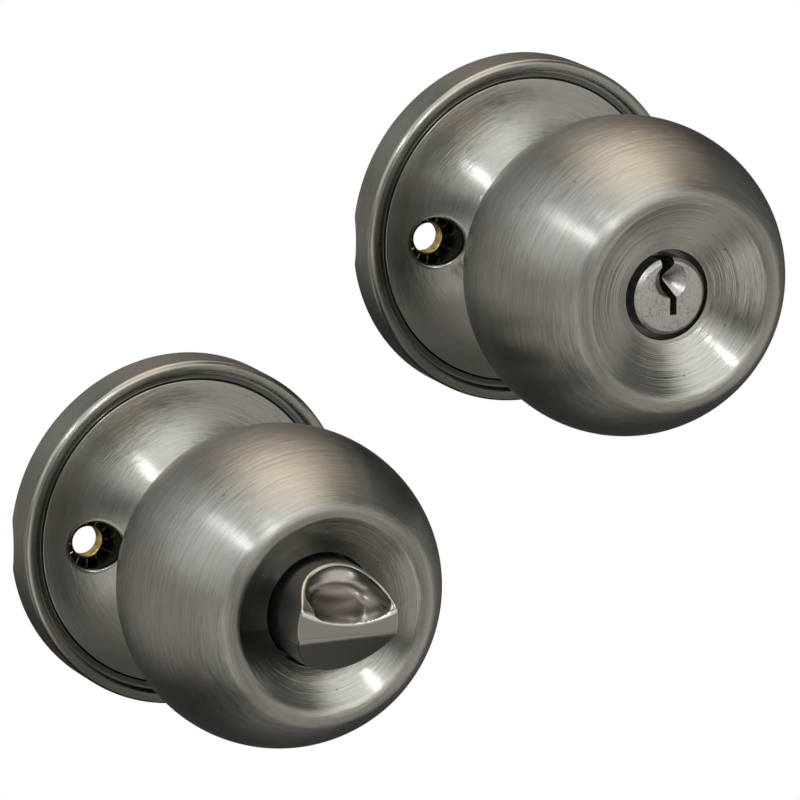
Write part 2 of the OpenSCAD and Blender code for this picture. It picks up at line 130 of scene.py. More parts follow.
class BallSizes(bpy.types.PropertyGroup):
    """Sizes of both balls."""
    diameter: length("Diameter", "Outer diameter of the ball", span_of("keyed_shell") / MM)
    centre: length("Centre", "Distance of the ball's centre from the door", 45.5)
    wall: length("Wall", "Sheet thickness", 1.0)
    back: length("Back", "Radius of the opening at the back", 14.0)
    dish_rim: length("Dish rim", "Radius where the dish meets the ball", 19.25)
    dish: length("Dish", "Radius of the hollow dish", 31.0)
    rim_round: length("Rim round", "Rounding between ball and dish", 3.0)
    key_hole: length("Key hole", "Radius of the hole around the plug", 8.25)
    button_hole: length("Button hole", "Radius of the hole around the button", 10.4)
    hole_round: length("Hole round", "Rounding of the hole's edge", 0.3)


class PlugSizes(bpy.types.PropertyGroup):
    """Sizes of the key plug."""
    head: length("Head", "Radius of the head", 7.1)
    body: length("Body", "Radius of the body", 6.3)
    head_depth: length("Head depth", "Depth of the head", 5.5)
    bevel: length("Bevel", "Width of the head's bevel", 0.6)
    edge: length("Edge", "Rounding at both edges of the bevel", 0.16)
    sink: length("Countersink", "Radius of the countersink", 3.27)
    sink_depth: length("Countersink depth", "Depth of the countersink", 3.69)
    sink_height: length("Countersink height", "Height of the countersink above the axis", 2.84)


class ButtonSizes(bpy.types.PropertyGroup):
    """Sizes of the turn button."""
    radius: length("Radius", "Radius of the button", span_of("turn_button") / MM / 2)
    ridge: length("Ridge", "Half width of the ridge's flat", 1.33)
    ridge_drop: length("Ridge drop", "Height of the ridge's middle below the button's axis", 0.99)
    fall: length("Fall", "Drop from the ridge to the rim", 6.1)
    rim: length("Rim", "Width of the rim round the scoop", 0.65)
    scoop: length("Scoop", "Depth of the scoop below the rim", 1.6)
    ridge_wall: length("Ridge wall", "Width of the scoop's rise to the ridge", 5.5)
    rim_wall: length("Rim wall", "Width of the scoop's rise to the rim", 4.0)
    corner: length("Corner", "Rounding of the scoop's left corner", 4.5)
    lip: length("Lip", "Rounding of the scoop's edge", 0.95)
    bow: length("Bow", "Rise of the scoop's edge from its middle to the rim", 2.4)
    slant: angle("Slant", "Turn of the scoop's edge", -6.0)
    lower_slant: angle("Lower slant", "Turn of the ridge's lower edge", -2.8)
    edge: length("Edge", "Rounding of the outer edge", 0.4)
    stem: length("Stem", "Radius of the stem", 5.0)


class FerruleSizes(bpy.types.PropertyGroup):
    """Sizes of the bolt ferrules."""
    flange: length("Flange", "Radius of the flange", 4.5)
    flange_back: length("Flange back", "Height of the flange's back", 3.0)
    flange_front: length("Flange front", "Height of the flange's front", 3.8)
    tube: length("Tube", "Outer radius of the tube", 3.4)
    bore: length("Bore", "Radius of the bore", 2.75)
    tube_end: length("Tube end", "Height of the tube's end, inside the plate", 1.6)
    ribs: IntProperty(name="Ribs", description="Number of ribs on the flange", default=12, min=3, max=48)
    rib: length("Rib", "Radius of each rib's round back", 0.22)


class Finishes(bpy.types.PropertyGroup):
    """Colours of the finishes."""
    satin: colour("Satin steel", "Brushed steel of rosettes and balls", (0.318, 0.315, 0.298))
    satin_deep: colour("Satin steel, deep", "Bottom of the brush marks", (0.245, 0.243, 0.23))
    nickel: colour("Nickel", "Plated face of the key plug", (0.45, 0.44, 0.425))
    polished: colour("Polished", "Polished turn button", (0.31, 0.30, 0.285))
    # Painted shade on the turn button's lower face.
    lower_face_shade: colour("Dull", "Lower face of the turn button", (0.11, 0.106, 0.097))
    # Painted shade in the hollow of the turn button's scoop.
    hollow: colour("Hollow", "Hollow of the turn button's scoop", (0.16, 0.14, 0.13))
    # Painted highlight on the lip of the turn button's scoop.
    lip: colour("Lip", "Lip of the turn button's scoop", (0.75, 0.735, 0.71))
    yellow_zinc: colour("Yellow zinc", "Passivated ferrules and plates", (0.62, 0.47, 0.16))
    # Painted shade on the ferrules' flanges.
    olive_shade: colour("Olive", "Darker tint of the passivation", (0.045, 0.04, 0.016))
    brass: colour("Brass", "Bushes, pins and cover", (0.70, 0.50, 0.22))
    cast: colour("Die-cast zinc", "Liners, lock case and guide", (0.40, 0.405, 0.41))
    bright: colour("Bright steel", "Shanks, spindle and bars", (0.40, 0.40, 0.395))
    spring: colour("Spring steel", "Springs and clips", (0.27, 0.27, 0.28))


class StageSettings(bpy.types.PropertyGroup):
    """Camera, lamps and floor."""
    azimuth: angle("Azimuth", "Camera's turn about the vertical", -26.458)
    elevation: angle("Elevation", "Camera's height angle", 14.673)
    roll: angle("Roll", "Camera's roll", 0.139)
    distance: length("Distance", "Camera's distance from its target", 1400.0)
    pixels_per_mm: number("Scale", "Image pixels per millimetre at the target", 5.498, 1.0, 20.0)
    aim_left: length("Aim left", "Target to the left of the middle of the set", 2.899)
    aim_out: length("Aim out", "Target in front of the door's face", 30.0)
    aim_up: length("Aim up", "Target above the middle of the set", 2.157)
    floor_drop: length("Floor drop", "Floor below the lower knob's axis", 300.0)
    floor_tone: colour("Floor", "Pale floor", (0.52, 0.51, 0.495))


class KnobSet(bpy.types.PropertyGroup):
    """Everything a user would change."""
    rosette: PointerProperty(type=RosetteSizes)
    ball: PointerProperty(type=BallSizes)
    plug: PointerProperty(type=PlugSizes)
    button: PointerProperty(type=ButtonSizes)
    ferrule: PointerProperty(type=FerruleSizes)
    finish: PointerProperty(type=Finishes)
    stage: PointerProperty(type=StageSettings)


def settings():
    """The scene's own copy of all sizes and colours."""
    return bpy.context.scene.knob_set


# ---------------------------------------------------------------- node trees

class Sock:
    """A node's output that takes part in Python arithmetic."""

    def __init__(self, tree, socket):
        self.tree = tree
        self.socket = socket

    def __add__(self, other):
        return self.tree.maths("ADD", self, other)

    def __radd__(self, other):
        return self.tree.maths("ADD", other, self)

    def __sub__(self, other):
        return self.tree.maths("SUBTRACT", self, other)

    def __rsub__(self, other):
        return self.tree.maths("SUBTRACT", other, self)

    def __mul__(self, other):
        return self.tree.maths("MULTIPLY", self, other)

    def __rmul__(self, other):
        return self.tree.maths("MULTIPLY", other, self)

    def __truediv__(self, other):
        return self.tree.maths("DIVIDE", self, other)

    def __rtruediv__(self, other):
        return self.tree.maths("DIVIDE", other, self)

    def __pow__(self, other):
        return self.tree.maths("POWER", self, other)


class Tree:
    """A node tree whose nodes all come from add()."""

    def __init__(self, tree):
        self.tree = tree

    def add(self, kind, config=None, inputs=None, output=0):
        """Adds a node: its settings first, then its sockets' values or links. Gives one output, if it has any."""
        node = self.tree.nodes.new(kind)
        for key, value in (config or {}).items():
            setattr(node, key, value)
        for key, value in (inputs or {}).items():
            if isinstance(value, Sock):
                self.tree.links.new(value.socket, node.inputs[key])
            else:
                node.inputs[key].default_value = value
        return Sock(self, node.outputs[output]) if node.outputs else node

    def other(self, sock, name):
        """Another output of the node that sock comes from."""
        return Sock(self, sock.socket.node.outputs[name])

    def maths(self, operation, *values):
        """One step of arithmetic."""
        return self.add("ShaderNodeMath", {"operation": operation}, dict(enumerate(values)))

    def vector_maths(self, operation, *values, output=0):
        """One step of arithmetic on vectors."""
        return self.add("ShaderNodeVectorMath", {"operation": operation}, dict(enumerate(values)), output)

    def vector(self, x, y, z):
        """Three values as one vector."""
        return self.add("ShaderNodeCombineXYZ", None, {0: x, 1: y, 2: z})

    def smooth(self, value, low, high):
        """0 below low, 1 above high, smooth between."""
        return self.add("ShaderNodeMapRange", {"interpolation_type": "SMOOTHSTEP"},
                        {"Value": value, "From Min": low, "From Max": high, "To Min": 0.0, "To Max": 1.0})

    def mix(self, factor, first, second, blend="MIX"):
        """A colour mix."""
        return self.add("ShaderNodeMix", {"data_type": "RGBA", "blend_type": blend},
                        {0: factor, 6: first, 7: second}, 2)


class Finish(Tree):
    """A material with one Principled shader."""

    def __init__(self, name, **constants):
        self.material = bpy.data.materials.new(name)
        self.material.use_nodes = True
        super().__init__(self.material.node_tree)
        self.tree.nodes.clear()
        shader = self.add("ShaderNodeBsdfPrincipled", None, {
            key.replace("_", " "): value for key, value in constants.items()})
        self.add("ShaderNodeOutputMaterial", None, {"Surface": shader})
        self.shader = shader.socket.node

    def feed(self, name, sock):
        """Links a value to one of the shader's inputs."""
        self.tree.links.new(sock.socket, self.shader.inputs[name])

    def place(self, axis):
        """Object coordinates in millimetres about one half's axis: the spot, x, depth and height."""
        per_mm = 1 / MM
        spot = self.add("ShaderNodeMapping", None, {
            "Vector": self.add("ShaderNodeTexCoord", output="Object"), "Scale": (per_mm, per_mm, per_mm),
            "Location": (-axis[0] * per_mm, 0.0, -axis[1] * per_mm)})
        x = self.add("ShaderNodeSeparateXYZ", None, {0: spot})
        return spot, x, self.other(x, "Y"), self.other(x, "Z")

    def noise(self, vector, scale, detail=2.0, w=None, roughness=0.5):
        """Noise from 0 to 1, on four coordinates where w is given."""
        inputs = {"Vector": vector, "Scale": scale, "Detail": detail, "Roughness": roughness}
        if w is not None:
            inputs["W"] = w
        return self.add("ShaderNodeTexNoise", {"noise_dimensions": "3D" if w is None else "4D"}, inputs)

    def bump(self, height, strength, distance):
        """Unevenness of the surface."""
        self.feed("Normal", self.add("ShaderNodeBump", None, {
            "Strength": strength, "Distance": distance, "Height": height}))


def rgba(value):
    """A colour as four numbers."""
    return (*value, 1.0)


def darker(value, share):
    """A colour times a share."""
    return tuple(share * part for part in value)


def hypotenuse(a, b):
    """Distance from two coordinates, as values of a node tree."""
    return (a * a + b * b) ** 0.5


# ---------------------------------------------------------------- finishes

# Tints laid over a finish.
WHITE = rgba((1.0, 1.0, 1.0))
WARM = rgba((1.0, 0.965, 0.93))
# Grime in the groove and in small pits, and painted shade under the ball on the rosettes.
GRIME_AND_SHADE = rgba((0.03, 0.028, 0.024))
# Painted shade inside the bolt openings.
UNLIT = rgba((0.012, 0.011, 0.009))
# Painted highlight on the ferrule ribs' backs.
RIB_HIGHLIGHT = rgba((0.42, 0.39, 0.27))
# Brass-brown painted shade on the left of the key's countersink.
BRASS_SHADE = rgba((0.085, 0.06, 0.038))


def tip_surface(finish, across, upward, tip):
    """Tips the surface along its meridian, towards the axis or away from it."""
    along = finish.add("ShaderNodeVectorTransform", {
        "vector_type": "VECTOR", "convert_from": "OBJECT", "convert_to": "WORLD"},
        {0: finish.vector(upward, 0.0, 0.0 - across)})
    normal = finish.add("ShaderNodeNewGeometry", output="Normal")
    meridian = finish.vector_maths("CROSS_PRODUCT", along, normal)
    tipped = finish.vector_maths("MULTIPLY_ADD", meridian, finish.vector(tip, tip, tip), normal)
    finish.feed("Normal", finish.vector_maths("NORMALIZE", tipped))


def soil_and_shade_rosette(finish, shade, size, x, height, reach):
    """Painted shade inside the bolt openings and under the ball, and grime in the groove, where no cloth gets to it.
    """
    # Painted shade inside each bolt opening, where shade falls.
    beside = finish.maths("ABSOLUTE", x) - size.bolt_spacing / 2 / MM
    opening = size.opening / 2 / MM
    inside = finish.smooth(hypotenuse(beside, height), opening + 0.45, opening + 0.05)
    shade = finish.mix(inside, shade, UNLIT)
    groove = (size.diameter / 2 - size.land - size.groove) / MM
    ring = finish.smooth(reach, groove - 0.05, groove + 0.3) * finish.smooth(reach, groove + 1.4, groove + 0.9)
    shade = finish.mix(ring * 0.72, shade, GRIME_AND_SHADE)
    # Painted shadow: darker towards the bottom, under the ball.
    shadow_start, shadow_full = -9.0, -25.0
    return finish.mix(finish.smooth(height, shadow_start, shadow_full) * 0.7, shade, GRIME_AND_SHADE)


def turned_steel(name, axis, tones, roughness, spread, lines, rings=0.0, rosette=None):
    """Steel brushed round an axis: each brush mark tips the surface towards or away from the axis.

    Spread is the tip of marks too fine to be seen one by one, which draw the shine out along the meridian, lines are
    those that can be seen, and rings are the tool marks in the dish. There are a few small pits. Where the sizes of a
    rosette are given, it holds a rosette's grime and its painted shade.
    """
    finish = Finish(name, Metallic=1.0, Specular_Tint=rgba((0.92, 0.92, 0.92)))
    spot, x, depth, height = finish.place(axis)
    reach = hypotenuse(x, height)
    across = x / reach
    upward = height / reach

    def marks(pitch, turns, detail):
        """Noise that runs round the axis: pitch marks to a millimetre, turns changes to a radian."""
        return finish.noise(finish.vector(reach * pitch, depth * pitch, across * turns), scale=1.0, detail=detail,
                            w=upward * turns, roughness=0.6)

    def dust(**seed):
        """White noise."""
        return finish.add("ShaderNodeTexWhiteNoise", {"noise_dimensions": "4D" if seed else "3D"},
                          {"Vector": spot, **seed}, "Value")

    hair = marks(pitch=14.0, turns=8.0, detail=1.0)
    fine = marks(pitch=5.5, turns=4.5, detail=2.0)
    broad = marks(pitch=2.0, turns=2.0, detail=3.0)
    lathe_marks = marks(pitch=5.5, turns=0.2, detail=3.0)
    patch = finish.noise(spot, scale=0.07, detail=3.0)
    rim, centre = settings().ball.dish_rim / MM, -settings().ball.centre / MM
    in_dish = finish.smooth(reach, rim + 0.75, rim - 1.75) * finish.smooth(depth, centre - 4.5, centre - 10.5)
    tip = (dust() + dust(W=3.0) - 1.0) * spread * (1.0 - 0.55 * in_dish)
    tip = tip + (hair - 0.5) * lines + (fine - 0.5) * (0.35 * lines) + (broad - 0.5) * 0.06
    tip_surface(finish, across, upward, tip + (lathe_marks - 0.5) * in_dish * rings)
    mark = finish.smooth(hair * 0.35 + fine * 0.4 + broad * 0.25, 0.34, 0.62)
    shade = finish.mix(mark, rgba(tones.satin_deep), rgba(tones.satin))
    warm = finish.mix(finish.smooth(patch, 0.4, 0.68), WHITE, WARM)
    shade = finish.mix(1.0, shade, warm, "MULTIPLY")
    pits = finish.add("ShaderNodeTexVoronoi", None, {"Vector": spot, "Scale": 0.16}, "Distance")
    shade = finish.mix(finish.smooth(pits, 0.035, 0.02) * 0.8, shade, GRIME_AND_SHADE)
    # A rosette's grime and its painted shade.
    if rosette is not None:
        shade = soil_and_shade_rosette(finish, shade, rosette, x, height, reach)
    finish.feed("Base Color", shade)
    finish.feed("Roughness", roughness - in_dish * 0.06 + (fine - 0.5) * 0.16 + (broad + patch - 1.0) * 0.06)
    return finish.material


def passivated(name, axis, tones, rosette, ferrule):
    """Yellow zinc, golden round each bolt's bore, with painted shade on the flange and a painted highlight on the
    ribs' backs.
    """
    finish = Finish(name, Metallic=1.0)
    spot, x, depth, height = finish.place(axis)
    beside = finish.maths("ABSOLUTE", x) - rosette.bolt_spacing / 2 / MM
    slow = finish.noise(spot, scale=0.5, detail=3.0)
    bore = ferrule.bore / MM
    # Painted shade on the flange, outside the golden bore.
    flange = finish.smooth(hypotenuse(beside, height) + (slow - 0.5) * 0.6, bore, bore + 0.5)
    shade = finish.mix(flange, rgba(tones.yellow_zinc), rgba(tones.olive_shade))
    # Painted highlight on the ribs' backs.
    front = -ferrule.flange_front / MM
    shade = finish.mix(finish.smooth(depth, front - 0.06, front - 0.17), shade, RIB_HIGHLIGHT)
    finish.feed("Base Color", shade)
    finish.feed("Roughness", 0.24 + (slow - 0.5) * 0.2)
    return finish.material


def plain_metal(name, tone, dark, roughness, grain, bump, patches=0.35):
    """Metal with slow patches of a darker share of its tone, a fine grain and a slight unevenness."""
    finish = Finish(name, Metallic=1.0)
    spot, _, _, _ = finish.place((0.0, 0.0))
    slow = finish.noise(spot, patches, detail=3.0)
    speck = finish.noise(spot, grain, detail=3.0, roughness=0.65)
    light = finish.smooth(slow * 0.6 + speck * 0.4, 0.36, 0.64)
    finish.feed("Base Color", finish.mix(light, rgba(darker(tone, dark)), rgba(tone)))
    finish.feed("Roughness", roughness + (speck - 0.5) * 0.22)
    finish.bump(speck, bump, 0.12 * MM)
    return finish.material


def worn_nickel(name, axis, plug, tone):
    """Nickel with specks and scratches from the key, and brass-brown painted shade on the left of the key's
    countersink.
    """
    finish = Finish(name, Metallic=1.0)
    spot, x, depth, height = finish.place(axis)
    slow = finish.noise(spot, scale=0.5, detail=3.0)
    speck = finish.noise(spot, scale=2.6, detail=4.0, roughness=0.7)
    scratch = finish.noise(finish.vector(x * 5.0 + height * 2.0, depth, height * 0.8 - x * 0.3), scale=1.0, detail=3.0,
                           roughness=0.7)
    worn = finish.smooth(speck, 0.49, 0.63) * 0.65 + finish.smooth(scratch, 0.52, 0.66) * 0.45
    shade = finish.mix(worn * finish.smooth(slow, 0.3, 0.55), rgba(tone), rgba(darker(tone, 0.35)))
    sink = plug.sink / MM
    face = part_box("key_plug")[0].y / MM
    # Brass-brown painted shade on the left of the countersink.
    sink_shade = finish.smooth(hypotenuse(x, height - plug.sink_height / MM), sink + 0.15, sink - 0.1)
    sink_shade = sink_shade * finish.smooth(x, 0.1, -0.5) * finish.smooth(depth, face + 0.05, face + 0.4)
    finish.feed("Base Color", finish.mix(sink_shade, shade, BRASS_SHADE))
    finish.feed("Roughness", 0.34 + (speck - 0.5) * 0.3)
    finish.bump(speck * 0.6 + scratch * 0.4, 0.35, 0.1 * MM)
    return finish.material


def button_metal(name, axis, size, tones):
    """Polished metal, with painted shade below the ridge and in the scoop's hollow, and a painted highlight on its
    lip.
    """
    finish = Finish(name, Metallic=1.0)
    spot, x, _, height = finish.place(axis)
    slow = finish.noise(spot, scale=0.35, detail=3.0)
    lower = (-size.ridge - size.ridge_drop) / MM
    upper = (size.ridge - size.ridge_drop) / MM
    from_rim = size.radius / MM - hypotenuse(x, height)
    # Painted shade on the face below the ridge and at the very rim.
    below = finish.smooth(height, lower + 0.1, lower - 0.5)
    below = finish.maths("MAXIMUM", below, finish.smooth(from_rim, 0.12, 0.03) * 0.4)
    above_edge = height - upper - x * math.tan(size.slant) - x * x * (size.bow * MM / size.radius ** 2)
    # Painted shade in the hollow of the scoop.
    hollow_right, hollow_wide, hollow_high = 0.8, 7.6, 5.7
    hollow = hypotenuse((x - hollow_right) * (1 / hollow_wide), (height - upper) * (1 / hollow_high))
    hollow = finish.smooth(hollow, 1.04, 0.92) * finish.smooth(above_edge, 0.2, 0.8)
    # Painted highlight along the scoop's lip.
    lip = finish.smooth(above_edge, -0.6, -0.2) * finish.smooth(above_edge, 0.45, 0.1)
    shade = finish.mix(below, rgba(tones.polished), rgba(tones.lower_face_shade))
    shade = finish.mix(hollow, shade, rgba(tones.hollow))
    shade = finish.mix(lip * finish.smooth(from_rim, 0.1, 0.4), shade, rgba(tones.lip))
    finish.feed("Base Color", shade)
    finish.feed("Roughness", 0.2 + below * 0.12 + hollow * 0.08 + (slow - 0.5) * 0.08)
    return finish.material


MATERIALS = {}


def make_finishes():
    """All materials, by the name of their finish."""
    sizes = settings()
    tones = sizes.finish
    for (half, axis), rings in zip(HALVES, (1.3, 0.5)):
        MATERIALS[f"{half}_rosette"] = turned_steel(
            f"satin_rosette_{half}", axis, tones, roughness=0.20, spread=0.18, lines=0.42, rosette=sizes.rosette)
        MATERIALS[f"{half}_ferrule"] = passivated(f"yellow_zinc_{half}", axis, tones, sizes.rosette, sizes.ferrule)
        MATERIALS[f"{half}_ball"] = turned_steel(
            f"satin_ball_{half}", axis, tones, roughness=0.23, spread=0.45, lines=0.38, rings=rings)
    MATERIALS["nickel"] = worn_nickel("nickel", KEYED_AXIS, sizes.plug, tones.nickel)
    MATERIALS["polished"] = button_metal("polished", TURN_AXIS, sizes.button, tones)
    for name, tone, look in (
            ("yellow_zinc", tones.yellow_zinc, dict(dark=0.85, roughness=0.33, grain=1.3, bump=0.3, patches=0.12)),
            ("brass", tones.brass, dict(dark=0.8, roughness=0.30, grain=1.8, bump=0.3)),
            ("die_cast_zinc", tones.cast, dict(dark=0.85, roughness=0.52, grain=1.6, bump=0.5)),
            ("bright_steel", tones.bright, dict(dark=0.9, roughness=0.27, grain=2.0, bump=0.15)),
            ("spring_steel", tones.spring, dict(dark=0.7, roughness=0.34, grain=2.2, bump=0.3))):
        MATERIALS[name] = plain_metal(name, tone, **look)


# ---------------------------------------------------------------- mesh helpers

def stand(axis, point):
    """A point of a half's own drawing, stood upright on that half's axis."""
    x, y, z = point
    return axis[0] + x, -z, axis[1] + y


def arc(centre, radius, start, end, steps):
    """Points on an arc, angles in degrees."""
    angles = [math.radians(start + (end - start) * i / steps) for i in range(steps + 1)]
    return [(centre[0] + radius * math.cos(a), centre[1] + radius * math.sin(a)) for a in angles]


def lathe(profile, steps):
    """Vertices and faces of a closed profile of (radius, height) turned about the axis."""
    points = []
    faces = []
    count = len(profile)
    for j in range(steps):
        a = 2 * math.pi * j / steps
        points += [(r * math.cos(a), r * math.sin(a), z) for r, z in profile]
    for j in range(steps):
        first, second = j * count, ((j + 1) % steps) * count
        for k in range(count):
            m = (k + 1) % count
            faces.append((first + k, second + k, second + m, first + m))
    return points, faces


def face_out(mesh):
    """Merges doubles and turns the faces outwards."""
    work = bmesh.new()
    work.from_mesh(mesh)
    bmesh.ops.remove_doubles(work, verts=work.verts, dist=1e-7)
    bmesh.ops.dissolve_degenerate(work, edges=work.edges, dist=1e-8)
    bmesh.ops.recalc_face_normals(work, faces=work.faces)
    work.to_mesh(mesh)
    work.free()


def build_mesh(name, points, faces, axis, sharp=35.0):
    """A mesh in place, with faces outwards and soft shading up to a sharp angle in degrees."""
    mesh = bpy.data.meshes.new(name)
    mesh.from_pydata([stand(axis, p) for p in points], [], faces)
    face_out(mesh)
    soften(mesh, sharp)
    return mesh


def soften(mesh, sharp):
    """Smooth shading, with edges past an angle in degrees kept sharp."""
    mesh.polygons.foreach_set("use_smooth", [True] * len(mesh.polygons))
    mesh.set_sharp_from_angle(angle=math.radians(sharp))
    mesh.update()


def add_object(name, data):
    """An object in the scene."""
    item = bpy.data.objects.new(name, data)
    bpy.context.scene.collection.objects.link(item)
    return item


def add_piece(name, mesh, material):
    """An object of a mesh, with one material."""
    mesh.materials.clear()
    mesh.materials.append(material)
    return add_object(name, mesh)


def bake_modifiers(piece):
    """Turns a piece and its modifiers into one plain mesh."""
    bpy.context.view_layer.update()
    shown = piece.evaluated_get(bpy.context.evaluated_depsgraph_get())
    mesh = bpy.data.meshes.new_from_object(shown)
    mesh.name = piece.name
    piece.modifiers.clear()
    if piece.type == "MESH":
        piece.data = mesh
        return piece
    name = piece.name
    bpy.data.objects.remove(piece)
    return add_object(name, mesh)


def finish_piece(piece, body, slot, *nodes):
    """Says what a piece rides on and the nodes that it stands for. Its finish, slot, is not used."""
    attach(piece, body)
    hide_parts(*nodes)


# ---------------------------------------------------------------- rosettes

# Rings round each bolt opening, as shares of the way from its rolled edge out to the border of its patch.
PATCH_RINGS = (0.84, 0.68, 0.52, 0.38, 0.26, 0.16, 0.08, 0.0)
# Steps over the rolled edge, and rings below it, as shares of the way down to the edge's end.
ROLL_STEPS = 8
EDGE_RINGS = (0.4, 0.75, 1.0)
# Share of the sheet's thickness that the wall is drawn with.
WALL_SHARE = 0.9


def face_height(size, r):
    """Height of the conical face between the groove and the flare."""
    return size.flat + (size.diameter / 2 - size.land - size.groove - r) * math.tan(size.cone)


def rosette_rings(size):
    """The outside of the rosette from the bush to the skirt's foot, as (radius, height), and where its bends are."""
    outer = size.diameter / 2
    neck = size.neck
    flare = math.degrees(size.flare)
    edge = 0.45 * MM
    lip = 0.22 * MM
    inner = outer - size.land
    groove = inner - size.groove
    low = size.flat - size.groove_depth
    middle = neck + size.fillet + (size.trumpet - size.fillet) * math.sin(size.flare)
    start = middle - size.trumpet * math.sin(size.cone)
    trumpet = (middle, face_height(size, start) + size.trumpet * math.cos(size.cone))
    bend = (neck + size.fillet, trumpet[1] - (size.trumpet - size.fillet) * math.cos(size.flare))
    rings = [(size.bore, size.neck_top)]
    rings += arc((neck - edge, size.neck_top - edge), edge, 90, 0, 5)
    rings += [(neck, size.neck_top - edge - (size.neck_top - edge - bend[1]) * t) for t in (0.35, 0.7)]
    rings += arc(bend, size.fillet, 180, 270 - flare, 14)
    rings += arc(trumpet, size.trumpet, 270 - flare, 270 - math.degrees(size.cone), 30)[1:]
    for t in (0.3, 0.65):
        r = start + (groove - lip - start) * t
        rings.append((r, face_height(size, r)))
    rings += arc((groove - lip, size.flat - lip), lip, 90, 20, 4)
    rings += arc((groove + 1.6 * lip, low + lip), lip, 200, 270, 4)
    rings += arc((inner - lip, low + lip), lip, 270, 350, 4)
    rings += arc((inner + edge, size.rim_height - edge), edge, 180, 90, 6)
    rings += arc((outer - size.shoulder, size.rim_height - size.shoulder), size.shoulder, 90, 0, 10)
    rings += [(outer, skirt * MM) for skirt in (4.6, 3.0, 1.7, 0.0)]
    return rings, bend, trumpet, start


def roll_opening(size, points, border, middle, height):
    """Adds the points from a patch's border to its opening and over the rolled edge. Gives the faces between them."""
    near = size.opening / 2 + size.lip
    columns = []
    for corner in border:
        x, y, _ = points[corner]
        turn = math.atan2(y, x - middle)
        far = math.hypot(x - middle, y)
        spots = [(near + (far - near) * t, 0.0) for t in PATCH_RINGS]
        for i in range(1, ROLL_STEPS + 1):
            a = math.radians(90 * i / ROLL_STEPS)
            spots.append((near - size.lip * math.sin(a), size.lip * (1 - math.cos(a))))
        column = [corner]
        for d, drop in spots:
            x, y = middle + d * math.cos(turn), d * math.sin(turn)
            z = height(math.hypot(x, y)) - drop
            column.append(len(points))
            points.append((x, y, z))
        for t in EDGE_RINGS:
            column.append(len(points))
            points.append((x, y, z + (size.lip_end - z) * t))
        columns.append(column)
    faces = []
    for column, beside in zip(columns, columns[1:] + columns[:1]):
        faces += [(column[k], beside[k], beside[k + 1], column[k + 1]) for k in range(len(column) - 1)]
    return faces


def rosette_skin(size, steps=240, half=15):
    """The outside skin with two rolled-in bolt openings and a pry notch.

    Steps is the number of points on each ring, and half is how many of them a patch takes up to either side.
    """
    rings, bend, trumpet, start = rosette_rings(size)
    hole = size.opening / 2
    hub = size.bolt_spacing / 2
    inner_margin, outer_margin = 1.75 * MM, 1.7 * MM
    inside = next(k for k, (r, _) in enumerate(rings) if r > hub - hole - inner_margin)
    outside = next(k for k, (r, _) in enumerate(rings) if r > hub + hole + outer_margin)
    patches = ((hub, -half, half), (-hub, steps // 2 - half, steps // 2 + half))
    notch = (size.notch ** 2 / 4 + size.notch_depth ** 2) / (2 * size.notch_depth)

    def height(r):
        """Height of the face, the flare or the bend."""
        if r < bend[0] - size.fillet * math.sin(size.flare):
            return bend[1] - math.sqrt(max(0.0, size.fillet ** 2 - (bend[0] - r) ** 2))
        if r < start:
            return trumpet[1] - math.sqrt(size.trumpet ** 2 - (trumpet[0] - r) ** 2)
        return face_height(size, r)

    def foot(x, y):
        """Height of the skirt's foot, which the notch lifts on the left."""
        lift = size.notch_depth - notch + math.sqrt(max(0.0, notch ** 2 - y ** 2))
        return max(0.0, lift) if x < 0 else 0.0

    hidden = set()
    covered = set()
    for _, first, last in patches:
        hidden |= {(k, j % steps) for k in range(inside + 1, outside) for j in range(first + 1, last)}
        covered |= {(k, j % steps) for k in range(inside, outside) for j in range(first, last)}
    points = []
    faces = []
    index = {}
    for k, (r, z) in enumerate(rings):
        for j in range(steps):
            if (k, j) in hidden:
                continue
            a = 2 * math.pi * j / steps
            x, y = r * math.cos(a), r * math.sin(a)
            index[k, j] = len(points)
            points.append((x, y, foot(x, y) if k == len(rings) - 1 else z))
    for k in range(len(rings) - 1):
        for j in range(steps):
            if (k, j) not in covered:
                m = (j + 1) % steps
                faces.append((index[k, j], index[k + 1, j], index[k + 1, m], index[k, m]))
    for middle, first, last in patches:
        border = [(inside, j) for j in range(first, last)] + [(k, last) for k in range(inside, outside)]
        border += [(outside, j) for j in range(last, first, -1)] + [(k, first) for k in range(outside, inside, -1)]
        faces += roll_opening(size, points, [index[k, j % steps] for k, j in border], middle, height)
    return points, faces


def face_outwards(mesh):
    """Turns an open skin so that its front looks along -Y."""
    highest = min(mesh.polygons, key=lambda face: face.center.y)
    if highest.normal.y > 0:
        mesh.flip_normals()


def make_rosette(half, axis):
    """One half's rosette: its outside skin, given a wall."""
    size = settings().rosette
    points, faces = rosette_skin(size)
    mesh = build_mesh(f"{half}_rosette", points, faces, axis)
    face_outwards(mesh)
    piece = add_piece(f"{half}_rosette", mesh, MATERIALS[f"{half}_rosette"])
    wall = piece.modifiers.new("Wall", "SOLIDIFY")
    wall.thickness = size.wall * WALL_SHARE
    wall.offset = -1.0
    wall.use_even_offset = True
    wall.use_rim = True
    piece = bake_modifiers(piece)
    soften(piece.data, 35.0)
    finish_piece(piece, "base", "satin_steel", f"{half}_rose")


# ---------------------------------------------------------------- balls

